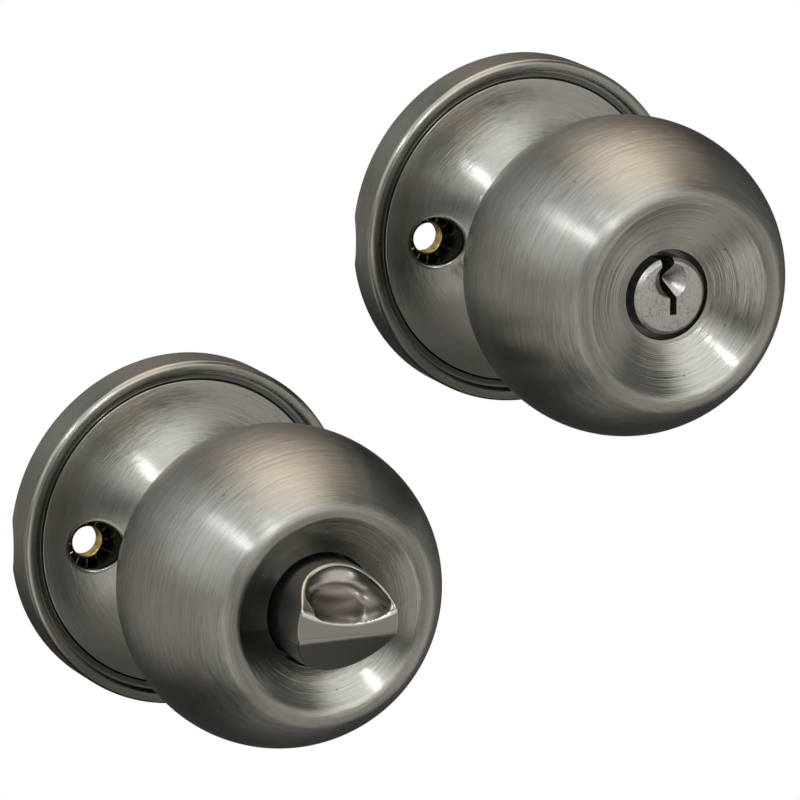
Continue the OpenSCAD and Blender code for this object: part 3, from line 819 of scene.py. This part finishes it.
def ball_profile(size, hole):
    """A closed profile of the ball's wall, dish and hole."""
    ball = size.diameter / 2
    rim_z = size.centre + math.sqrt(ball ** 2 - size.dish_rim ** 2)
    dish_z = rim_z + math.sqrt(size.dish ** 2 - size.dish_rim ** 2)
    round_z = ((ball - size.rim_round) ** 2 - (size.dish + size.rim_round) ** 2
               + dish_z ** 2 - size.centre ** 2) / (2 * (dish_z - size.centre))
    round_x = math.sqrt((ball - size.rim_round) ** 2 - (round_z - size.centre) ** 2)
    back_z = size.centre - math.sqrt(ball ** 2 - size.back ** 2)
    join = math.degrees(math.atan2(round_z - size.centre, round_x))
    top = math.degrees(math.atan2(dish_z - round_z, -round_x))

    def skin(inset, edge):
        """One side of the wall, from the back's opening to the hole."""
        radius = ball - inset
        dish = size.dish + inset
        start = -math.degrees(math.asin((size.centre - back_z) / radius))
        end = math.degrees(math.asin((hole + edge) / dish)) - 90
        path = arc((0.0, size.centre), radius, start, join, 64)
        path += arc((round_x, round_z), size.rim_round - inset, join, top, 14)[1:]
        return path + arc((0.0, dish_z), dish, top - 180, end, 40)[1:]

    outside = skin(0.0, size.hole_round)
    inside = skin(size.wall, 0.0)
    tip = outside[-1]
    outside += arc((tip[0], tip[1] - size.hole_round), size.hole_round, 90, 180, 5)[1:]
    return outside + inside[::-1]


def make_ball(half, axis, hole, body):
    """One half's ball, with a hole for the plug or the button."""
    points, faces = lathe(ball_profile(settings().ball, hole), steps=224)
    mesh = build_mesh(f"{half}_ball", points, faces, axis)
    piece = add_piece(f"{half}_ball", mesh, MATERIALS[f"{half}_ball"])
    finish_piece(piece, body, "satin_steel", f"{half}_shell")


# ---------------------------------------------------------------- key plug

# The keyway's outline, as shares of the head's radius.
KEYWAY = (
    (-0.26, 1.12), (0.09, 1.12), (0.09, 0.72), (0.01, 0.5), (0.01, 0.32), (0.17, -0.05), (0.17, -0.49),
    (-0.02, -0.49), (-0.02, -0.06), (-0.15, 0.16), (-0.15, 0.5), (-0.26, 0.72),
)


def prism(outline, low, high):
    """A closed prism over an outline."""
    count = len(outline)
    points = [(x, y, low) for x, y in outline] + [(x, y, high) for x, y in outline]
    faces = [tuple(range(count - 1, -1, -1)), tuple(range(count, 2 * count))]
    faces += [(i, (i + 1) % count, count + (i + 1) % count, count + i) for i in range(count)]
    return points, faces


def cut(piece, name, points, faces, axis):
    """Cuts a closed shape out of a piece."""
    tool = add_object(name, build_mesh(name, points, faces, axis))
    boolean = piece.modifiers.new(name, "BOOLEAN")
    boolean.operation = "DIFFERENCE"
    boolean.solver = "EXACT"
    boolean.object = tool
    bake_modifiers(piece)
    bpy.data.objects.remove(tool)


def make_plug():
    """The key plug, with its keyway and its countersink."""
    size = settings().plug
    low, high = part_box("key_plug")
    face, back = -low.y, -high.y
    neck = face - size.head_depth
    profile = [(0.0, back), (size.body, back), (size.body, neck), (size.head, neck)]
    profile += arc((size.head - size.edge, face - size.bevel - size.edge), size.edge, 0, 45, 4)
    profile += arc((size.head - size.bevel - size.edge, face - size.edge), size.edge, 45, 90, 4)
    profile += [(0.5 * size.head, face), (0.0, face)]
    points, faces = lathe(profile, steps=128)
    mesh = build_mesh("key_plug_dressed", points, faces, KEYED_AXIS)
    piece = add_piece("key_plug_dressed", mesh, MATERIALS["nickel"])
    outline = [(size.head * x, size.head * y) for x, y in KEYWAY]
    keyway_end, clear = back + 5 * MM, face + 3 * MM
    cut(piece, "keyway", *prism(outline, keyway_end, clear), KEYED_AXIS)
    cone = [(0.0, face - size.sink_depth), (2 * size.sink, face + size.sink_depth), (0.0, face + size.sink_depth)]
    points, faces = lathe(cone, steps=96)
    points = [(x, y + size.sink_height, z) for x, y, z in points]
    cut(piece, "countersink", points, faces, KEYED_AXIS)
    soften(piece.data, 28.0)
    finish_piece(piece, "plug", "nickel", "key_plug")


# ---------------------------------------------------------------- turn button

# Slope of the scoop's surface outside its outline, where the dome is lower.
OUTLINE_SLOPE = 9.0
# Rounding of the scoop's right corner, as a share of the left one's.
RIGHT_CORNER = 0.3
# Least height of a side of the button, and the rounding of the ridge's lower edge.
LEAST_SIDE = 1.0 * MM
LOWER_ROUND = 0.5 * MM


def soft_min(a, b, k):
    """The lesser of two heights, rounded over a width."""
    h = max(0.0, min(1.0, 0.5 + 0.5 * (b - a) / k))
    return b + (a - b) * h - k * h * (1 - h)


def scoop_height(size, dome, inward, above, bend):
    """Height of the scoop at a distance inward from the rim and above the ridge's edge, with a rounded corner."""
    if inward < bend and above < bend:
        inset = min(inward, above) - bend + math.hypot(bend - inward, bend - above)
        inward, above = inward - inset, above - inset
    if inward <= 0 or above <= 0:
        return dome + OUTLINE_SLOPE * max(-inward, -above)
    floor = -size.fall - size.scoop
    near_ridge = max(0.0, 1 - above / size.ridge_wall)
    near_rim = max(0.0, 1 - inward / size.rim_wall)
    height = floor - floor * (1 - math.sqrt(1 - near_ridge ** 2))
    return height + (dome - floor) * (1 - math.sqrt(1 - near_rim ** 2))


def button_height(size, x, y):
    """Height of the button's front below its ridge. Both sides fall to the rim, and the upper one has a scoop."""
    from_rim = size.radius - math.hypot(x, y)
    if y > -size.ridge_drop:
        edge = size.ridge - size.ridge_drop + math.tan(size.slant) * x + size.bow * (x / size.radius) ** 2
        share = (y - edge) / max(LEAST_SIDE, size.radius - edge)
        dome = -size.fall * (1 - math.cos(math.pi * min(1.0, max(0.0, share)))) / 2
        bend = size.corner if x < 0 else RIGHT_CORNER * size.corner
        scoop = scoop_height(size, dome, from_rim - size.rim, y - edge, bend)
        front = soft_min(dome, scoop, size.lip)
    else:
        edge = size.ridge + size.ridge_drop - math.tan(size.lower_slant) * x
        share = (-y - edge) / max(LEAST_SIDE, size.radius - edge)
        front = soft_min(0.0, -size.fall * share, LOWER_ROUND)
    gap = max(0.0, size.edge - from_rim)
    return front - (size.edge - math.sqrt(max(0.0, size.edge ** 2 - gap ** 2)))


def spaced(start, end, steps, ease):
    """Steps from start to end, closer together at both ends where ease is large."""
    places = []
    for i in range(steps + 1):
        t = i / steps
        s = 0.5 - 0.5 * math.cos(math.pi * t)
        places.append(start + (end - start) * (t * (1 - ease) + s * ease))
    return places


def make_button():
    """The turn button: a grid for its front, then its side and its stem as rings below the grid's border."""
    size = settings().button
    low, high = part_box("turn_button")
    top, end = -low.y, -high.y
    seat_gap, soft = 0.42 * MM, 0.3 * MM
    seat = -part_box("button_guide")[0].y + seat_gap
    # The grid stops just short of its top and bottom, where a row would shrink to a point.
    limit = size.radius * math.sin(math.radians(89.2))
    rows = spaced(-limit, limit, steps=300, ease=0.6)
    columns = spaced(-1.0, 1.0, steps=140, ease=0.97)
    points = []
    faces = []
    for y in rows:
        chord = math.sqrt(size.radius ** 2 - y ** 2)
        points += [(u * chord, y, top + button_height(size, u * chord, y)) for u in columns]
    wide = len(columns)
    for i in range(len(rows) - 1):
        for k in range(wide - 1):
            a = i * wide + k
            faces.append((a, a + 1, a + wide + 1, a + wide))
    border = list(range(wide)) + [i * wide + wide - 1 for i in range(1, len(rows))]
    border += [(len(rows) - 1) * wide + k for k in range(wide - 2, -1, -1)]
    border += [i * wide for i in range(len(rows) - 2, 0, -1)]
    rims = [border]
    for z, r in ((seat + soft, size.radius), (seat, size.radius - soft), (seat, size.stem),
                 (end + soft, size.stem), (end, size.stem - soft)):
        rim = []
        for b in border:
            x, y, _ = points[b]
            share = r / max(1e-9, math.hypot(x, y))
            rim.append(len(points))
            points.append((x * share, y * share, z))
        rims.append(rim)
    for upper, lower in zip(rims, rims[1:]):
        for i in range(len(border)):
            k = (i + 1) % len(border)
            faces.append((upper[i], upper[k], lower[k], lower[i]))
    faces.append(tuple(rims[-1]))
    mesh = build_mesh("turn_button_dressed", points, faces, TURN_AXIS, 50.0)
    piece = add_piece("turn_button_dressed", mesh, MATERIALS["polished"])
    finish_piece(piece, "button", "nickel", "turn_button")


# ---------------------------------------------------------------- repeats and wires

PINS = range(1, 6)


class Shaper(Tree):
    """A Geometry Nodes tree with named inputs."""

    def __init__(self, name, inputs):
        tree = bpy.data.node_groups.new(name, "GeometryNodeTree")
        super().__init__(tree)
        self.names = {}
        tree.interface.new_socket("Geometry", in_out="OUTPUT", socket_type="NodeSocketGeometry")
        for label, kind in [("Geometry", "NodeSocketGeometry")] + inputs:
            self.names[label] = tree.interface.new_socket(label, in_out="INPUT", socket_type=kind).identifier
        self.entry = self.add("NodeGroupInput")

    def value(self, label):
        """One of the tree's inputs."""
        return self.other(self.entry, label)

    def close(self, shape):
        """Ends the tree in real geometry with its material."""
        shape = self.add("GeometryNodeRealizeInstances", None, {0: shape})
        shape = self.add("GeometryNodeSetMaterial", None, {"Geometry": shape, "Material": self.value("Material")})
        self.add("NodeGroupOutput", None, {0: shape})

    def shape(self, piece, values):
        """Runs the tree on a piece and gives the plain mesh that it makes."""
        modifier = piece.modifiers.new(self.tree.name, "NODES")
        modifier.node_group = self.tree
        for label, value in values.items():
            modifier[self.names[label]] = value
        return bake_modifiers(piece)


def rib_tree():
    """Adds round-backed ribs to a flange and stands it in place."""
    tree = Shaper("Ribbed flange", [
        ("Count", "NodeSocketInt"), ("Circle", "NodeSocketFloat"), ("Height", "NodeSocketFloat"),
        ("Rib radius", "NodeSocketFloat"), ("Rib length", "NodeSocketFloat"), ("Place", "NodeSocketVector"),
        ("Material", "NodeSocketMaterial")])
    ring = tree.add("GeometryNodeMeshCircle", None, {"Vertices": tree.value("Count"), "Radius": tree.value("Circle")})
    rib = tree.add("GeometryNodeMeshCylinder", None, {
        "Vertices": 14, "Radius": tree.value("Rib radius"), "Depth": tree.value("Rib length")})
    rib = tree.add("GeometryNodeTransform", None, {"Geometry": rib, "Rotation": (0.0, math.pi / 2, 0.0)})
    turn = tree.add("GeometryNodeInputIndex") * (2 * math.pi) / tree.value("Count")
    ribs = tree.add("GeometryNodeInstanceOnPoints", None, {
        "Points": ring, "Instance": rib, "Rotation": tree.vector(0.0, 0.0, turn)})
    ribs = tree.add("GeometryNodeTransform", None, {
        "Geometry": ribs, "Translation": tree.vector(0.0, 0.0, tree.value("Height"))})
    both = tree.add("GeometryNodeJoinGeometry", None, {0: tree.value("Geometry")})
    tree.tree.links.new(ribs.socket, both.socket.node.inputs[0])
    tree.close(tree.add("GeometryNodeTransform", None, {
        "Geometry": both, "Translation": tree.value("Place"), "Rotation": (math.pi / 2, 0.0, 0.0)}))
    return tree


def make_ferrules():
    """The four bolt ferrules, with ribs on their flanges."""
    size = settings().ferrule
    spacing = settings().rosette.bolt_spacing
    soft, bore_soft = 0.15 * MM, 0.35 * MM
    profile = [(size.bore, size.tube_end), (size.tube, size.tube_end), (size.tube, size.flange_back),
               (size.flange, size.flange_back)]
    profile += arc((size.flange - soft, size.flange_front - soft), soft, 0, 90, 4)
    profile += arc((size.bore + bore_soft, size.flange_front - bore_soft), bore_soft, 90, 180, 5)
    points, faces = lathe(profile, steps=72)
    inner, outer = size.bore + 0.55 * MM, size.flange - soft
    tree = rib_tree()
    for half, axis in HALVES:
        for side, sign in (("l", -1), ("r", 1)):
            name = f"{half}_ferrule_{side}_dressed"
            mesh = bpy.data.meshes.new(name)
            mesh.from_pydata(points, [], faces)
            face_out(mesh)
            piece = tree.shape(add_object(name, mesh), {
                "Count": size.ribs, "Circle": (inner + outer) / 2, "Height": size.flange_front,
                "Rib radius": size.rib, "Rib length": outer - inner,
                "Place": (axis[0] + sign * spacing / 2, 0.0, axis[1]), "Material": MATERIALS[f"{half}_ferrule"]})
            soften(piece.data, 40.0)
            finish_piece(piece, "base", "yellow_zinc", f"{half}_ferrule_{side}")


def wire_tree():
    """Round wire along a path."""
    tree = Shaper("Wire along path", [("Wire radius", "NodeSocketFloat"), ("Sides", "NodeSocketInt"),
                                      ("Material", "NodeSocketMaterial")])
    ring = tree.add("GeometryNodeCurvePrimitiveCircle", None, {
        "Resolution": tree.value("Sides"), "Radius": tree.value("Wire radius")})
    tube = tree.add("GeometryNodeCurveToMesh", None, {
        "Curve": tree.value("Geometry"), "Profile Curve": ring, "Fill Caps": True})
    tree.close(tube)
    return tree


def wire_piece(name, path, tree, radius, sides):
    """A wire along points that are already in place."""
    curve = bpy.data.curves.new(name, "CURVE")
    curve.dimensions = "3D"
    line = curve.splines.new("POLY")
    line.points.add(len(path) - 1)
    for point, place in zip(line.points, path):
        point.co = (*place, 1.0)
    piece = tree.shape(add_object(name, curve), {
        "Wire radius": radius, "Sides": sides, "Material": MATERIALS["spring_steel"]})
    soften(piece.data, 60.0)
    return piece


def return_path(axis):
    """The return spring's wire, a leg, two turns and a leg, and its radius."""
    wire, turns, pitch = 0.9 * MM, 2, 1.35 * MM
    coil = 10.75 * MM
    low, rise = 3.75 * MM, turns * pitch
    leg, far = 1.5 * MM, 14.6 * MM
    lead = math.asin(leg / coil)
    steps = 72 * turns
    # Points along a leg, from its end to the coil.
    stops = (far, far - 1.2 * MM, coil + 0.8 * MM)
    path = [(leg, y, low) for y in stops]
    for i in range(steps + 1):
        a = math.pi / 2 - lead - (2 * math.pi * turns - 2 * lead) * i / steps
        path.append((coil * math.cos(a), coil * math.sin(a), low + rise * i / steps))
    path += [(-leg, y, low + rise) for y in reversed(stops)]
    return [stand(axis, p) for p in path], wire / 2


def pin_path(low, high):
    """A pin spring's wire, wound down through its box, and its radius."""
    radius, turns, steps = 0.16 * MM, 6, 28
    coil = (high.x - low.x) / 2 - radius
    middle_x, middle_y = (low.x + high.x) / 2, (low.y + high.y) / 2
    start, end = high.z - radius, low.z + radius
    path = []
    for k in range(turns * steps + 1):
        a = 2 * math.pi * k / steps
        path.append((middle_x + coil * math.cos(a), middle_y + coil * math.sin(a),
                     start + (end - start) * k / (turns * steps)))
    return path, radius


def make_springs():
    """Both return springs and the pin springs."""
    tree = wire_tree()
    for half, axis in HALVES:
        path, radius = return_path(axis)
        piece = wire_piece(f"{half}_return_spring_dressed", path, tree, radius, sides=14)
        finish_piece(piece, "base", "spring_steel", f"{half}_return_spring")
    for i in PINS:
        path, radius = pin_path(*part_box(f"pin_spring_{i}"))
        piece = wire_piece(f"pin_spring_{i}_dressed", path, tree, radius, sides=8)
        finish_piece(piece, "keyed_knob", "spring_steel", f"pin_spring_{i}")


# ---------------------------------------------------------------- kept nodes

KEPT = {
    "yellow_zinc": ("keyed_plate", "turn_plate"),
    "brass": ("keyed_bush", "turn_bush", "cylinder_cover", *(f"key_pin_{i}" for i in PINS)),
    "die_cast_zinc": ("keyed_liner", "turn_liner", "cylinder_case", "button_guide"),
    "bright_steel": ("keyed_cam", "turn_cam", "keyed_spacer", "turn_spacer", "keyed_shank", "turn_shank",
                     "keyed_spindle", "turn_socket", "tail_bar", "lock_bar", *(f"driver_{i}" for i in PINS)),
    "spring_steel": ("keyed_circlip", "turn_circlip", "plug_clip", "button_washer", "button_clip"),
}


def dress_kept():
    """Finishes for the nodes whose shape is kept."""
    for finish, names in KEPT.items():
        for name in names:
            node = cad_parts[name]
            if not node.material_slots:
                node.data.materials.append(None)
            for slot in node.material_slots:
                slot.material = MATERIALS[finish]


# ---------------------------------------------------------------- stage

# Side of the square picture in pixels, and width of the camera's sensor in millimetres.
PICTURE = 800
SENSOR = 36.0

# Soft panels of the studio: where each stands, by azimuth and elevation in degrees, and the light that it gives.
PANELS = (
    ("ceiling", 0, 90, (1.90, 1.73, 1.46)),
    ("high behind", 140, 62, (1.00, 0.82, 0.66)),
    ("high left", -60, 62, (0.10, 0.18, 0.26)),
    ("front", 0, 36, (1.75, 1.78, 1.72)),
    ("left", -80, 36, (0.98, 1.02, 1.00)),
    ("left behind", -120, 36, (0.75, 0.75, 0.72)),
    ("front right", 20, 10, (0.85, 0.82, 0.76)),
    ("right", 90, 30, (0.25, 0.24, 0.22)),
    ("behind", 180, 10, (0.45, 0.43, 0.40)),
    ("front left", -64, 8, (0.44, 0.42, 0.39)),
    ("low right", 80, -16, (0.80, 0.76, 0.71)),
    ("low left behind", -120, -16, (0.62, 0.58, 0.52)),
    ("low left", -40, -24, (0.95, 0.92, 0.86)),
    ("low front right", 34, -8, (0.14, 0.135, 0.125)),
    ("floor right", 45, -48, (0.55, 0.52, 0.48)),
    ("floor front", -10, -52, (0.35, 0.33, 0.30)),
)
# Light between the panels, and how far a panel and the white backdrop reach, in degrees.
DIM = rgba((0.07, 0.068, 0.064))
PANEL_REACH = 38
BACKDROP_REACH = 6

# Lamps: azimuth and elevation in degrees, radiance and tint. Radiance is what a mirror would show of the lamp.
LAMPS = (
    ("left lamp", -58, 40, 85.0, (0.96, 1.0, 1.0)),
    ("front lamp", -14, 34, 60.0, (0.93, 1.0, 1.0)),
)
LAMP_DISTANCE = 0.9
LAMP_SIDE = 0.06


def middle_of_set():
    """Middle between both axes, as x and z."""
    return (KEYED_AXIS[0] + TURN_AXIS[0]) / 2, (KEYED_AXIS[1] + TURN_AXIS[1]) / 2


def heading(azimuth, elevation):
    """A direction by its azimuth from the front, to the right, and its elevation, in degrees."""
    az, el = math.radians(azimuth), math.radians(elevation)
    return Vector((math.sin(az) * math.cos(el), -math.cos(az) * math.cos(el), math.sin(el)))


def make_camera(stage):
    """The camera at the photograph's viewing angle."""
    back = heading(math.degrees(stage.azimuth), math.degrees(stage.elevation))
    right = Vector((math.cos(stage.azimuth), math.sin(stage.azimuth), 0.0))
    up = back.cross(right)
    across = math.cos(stage.roll) * right + math.sin(stage.roll) * up
    upward = -math.sin(stage.roll) * right + math.cos(stage.roll) * up
    middle = middle_of_set()
    target = Vector((middle[0] - stage.aim_left, -stage.aim_out, middle[1] + stage.aim_up))
    data = bpy.data.cameras.new("camera")
    data.sensor_width = SENSOR
    data.lens = stage.pixels_per_mm * stage.distance / MM / PICTURE * SENSOR
    data.clip_start = 0.05
    data.clip_end = 50.0
    camera = add_object("camera", data)
    place = target + back * stage.distance
    camera.matrix_world = Matrix.Translation(place) @ Matrix((across, upward, back)).transposed().to_4x4()
    bpy.context.scene.camera = camera


def add_lamp(name, azimuth, elevation, radiance, tint):
    """A soft square lamp that looks at the set."""
    data = bpy.data.lights.new(name, "AREA")
    data.shape = "SQUARE"
    data.size = LAMP_SIDE
    data.energy = radiance * math.pi * LAMP_SIDE ** 2
    data.color = tint
    lamp = add_object(name, data)
    middle = middle_of_set()
    towards = heading(azimuth, elevation)
    lamp.location = Vector((middle[0], -settings().stage.aim_out, middle[1])) + towards * LAMP_DISTANCE
    lamp.rotation_mode = "QUATERNION"
    lamp.rotation_quaternion = towards.to_track_quat("Z", "Y")


def make_world(stage):
    """White to the camera; to everything else a dim studio with soft panels."""
    world = bpy.data.worlds.new("studio")
    bpy.context.scene.world = world
    world.use_nodes = True
    sky = Tree(world.node_tree)
    sky.tree.nodes.clear()
    way = sky.add("ShaderNodeTexCoord", output="Generated")

    def lobe(azimuth, elevation, reach):
        """1 towards a direction, fading to 0 at a reach in degrees."""
        near = sky.vector_maths("DOT_PRODUCT", way, tuple(heading(azimuth, elevation)), output="Value")
        return sky.smooth(near, math.cos(math.radians(reach)), 1.0)

    shade = DIM
    for _, azimuth, elevation, light in PANELS:
        shade = sky.mix(lobe(azimuth, elevation, PANEL_REACH), shade, rgba(light), "ADD")
    backdrop = lobe(180 + math.degrees(stage.azimuth), -math.degrees(stage.elevation), BACKDROP_REACH)
    seen = sky.add("ShaderNodeLightPath", output="Is Camera Ray")
    gloss = sky.maths("MAXIMUM", sky.other(seen, "Is Glossy Ray"), sky.other(seen, "Is Transmission Ray"))
    shade = sky.mix(sky.maths("MAXIMUM", seen, gloss * backdrop), shade, WHITE)
    light = sky.add("ShaderNodeBackground", None, {"Color": shade, "Strength": 1.0})
    sky.add("ShaderNodeOutputWorld", None, {"Surface": light})


def make_floor(stage):
    """A pale floor that fades into the white surroundings."""
    middle = middle_of_set()
    height = TURN_AXIS[1] - stage.floor_drop
    steps, rim, ahead = 96, 0.5, 0.16
    fade_start, fade_end = 0.05, 0.20
    points = [(middle[0], -ahead, height)]
    for i in range(steps):
        a = 2 * math.pi * i / steps
        points.append((middle[0] + rim * math.cos(a), rim * math.sin(a) - ahead, height))
    faces = [(0, 1 + i, 1 + (i + 1) % steps) for i in range(steps)]
    mesh = bpy.data.meshes.new("floor")
    mesh.from_pydata(points, [], faces)
    finish = Finish("pale_floor", Roughness=0.85, Base_Color=rgba(stage.floor_tone))
    spot = finish.add("ShaderNodeMapping", None, {
        "Vector": finish.add("ShaderNodeTexCoord", output="Object"), "Location": (-middle[0], ahead, -height)})
    reach = finish.vector_maths("LENGTH", spot, output="Value")
    finish.feed("Alpha", finish.smooth(reach, fade_end, fade_start))
    floor = add_piece("floor", mesh, finish.material)


def make_stage():
    """Camera, surroundings, floor and lamps."""
    stage = settings().stage
    make_camera(stage)
    make_world(stage)
    make_floor(stage)
    for lamp in LAMPS:
        add_lamp(*lamp)
    bpy.context.scene.view_settings.view_transform = "Standard"


# ---------------------------------------------------------------- add-on

class KNOBSET_OT_stage(bpy.types.Operator):
    """Make the finishes, camera, lamps and floor"""
    bl_idname = "knobset.stage"
    bl_label = "Stage"

    def execute(self, context):
        make_finishes()
        make_stage()
        return {"FINISHED"}


class KNOBSET_OT_rosettes(bpy.types.Operator):
    """Build both rosettes"""
    bl_idname = "knobset.rosettes"
    bl_label = "Rosettes"

    def execute(self, context):
        make_rosette("keyed", KEYED_AXIS)
        make_rosette("turn", TURN_AXIS)
        return {"FINISHED"}


class KNOBSET_OT_balls(bpy.types.Operator):
    """Build both balls"""
    bl_idname = "knobset.balls"
    bl_label = "Balls"

    def execute(self, context):
        size = settings().ball
        make_ball("keyed", KEYED_AXIS, size.key_hole, "keyed_knob")
        make_ball("turn", TURN_AXIS, size.button_hole, "turn_knob")
        return {"FINISHED"}


class KNOBSET_OT_plug(bpy.types.Operator):
    """Build the key plug"""
    bl_idname = "knobset.plug"
    bl_label = "Key plug"

    def execute(self, context):
        make_plug()
        return {"FINISHED"}


class KNOBSET_OT_button(bpy.types.Operator):
    """Build the turn button"""
    bl_idname = "knobset.button"
    bl_label = "Turn button"

    def execute(self, context):
        make_button()
        return {"FINISHED"}


class KNOBSET_OT_ferrules(bpy.types.Operator):
    """Build the four ribbed ferrules"""
    bl_idname = "knobset.ferrules"
    bl_label = "Ferrules"

    def execute(self, context):
        make_ferrules()
        return {"FINISHED"}


class KNOBSET_OT_springs(bpy.types.Operator):
    """Wind the return springs and the pin springs"""
    bl_idname = "knobset.springs"
    bl_label = "Springs"

    def execute(self, context):
        make_springs()
        return {"FINISHED"}


class KNOBSET_OT_inner(bpy.types.Operator):
    """Finish the plates, shanks, lock parts and bars that keep their shape"""
    bl_idname = "knobset.inner"
    bl_label = "Inner parts"

    def execute(self, context):
        dress_kept()
        return {"FINISHED"}


OPERATORS = (KNOBSET_OT_stage, KNOBSET_OT_rosettes, KNOBSET_OT_balls, KNOBSET_OT_plug, KNOBSET_OT_button,
             KNOBSET_OT_ferrules, KNOBSET_OT_springs, KNOBSET_OT_inner)


class KNOBSET_PT_panel(bpy.types.Panel):
    """Lists the pieces in the sidebar"""
    bl_idname = "KNOBSET_PT_panel"
    bl_label = "Knob Set"
    bl_space_type = "VIEW_3D"
    bl_region_type = "UI"
    bl_category = "Knob Set"

    def draw(self, context):
        for operator in OPERATORS:
            self.layout.operator(operator.bl_idname)


CLASSES = (RosetteSizes, BallSizes, PlugSizes, ButtonSizes, FerruleSizes, Finishes, StageSettings, KnobSet,
           *OPERATORS, KNOBSET_PT_panel)


def register():
    """Adds the classes and the scene's own sizes."""
    for item in CLASSES:
        bpy.utils.register_class(item)
    bpy.types.Scene.knob_set = PointerProperty(type=KnobSet)


def unregister():
    """Takes them away again."""
    del bpy.types.Scene.knob_set
    for item in reversed(CLASSES):
        bpy.utils.unregister_class(item)


def main():
    """Builds everything."""
    register()
    bpy.ops.knobset.stage()
    bpy.ops.knobset.rosettes()
    bpy.ops.knobset.balls()
    bpy.ops.knobset.plug()
    bpy.ops.knobset.button()
    bpy.ops.knobset.ferrules()
    bpy.ops.knobset.springs()
    bpy.ops.knobset.inner()


if __name__ == "__main__":
    main()
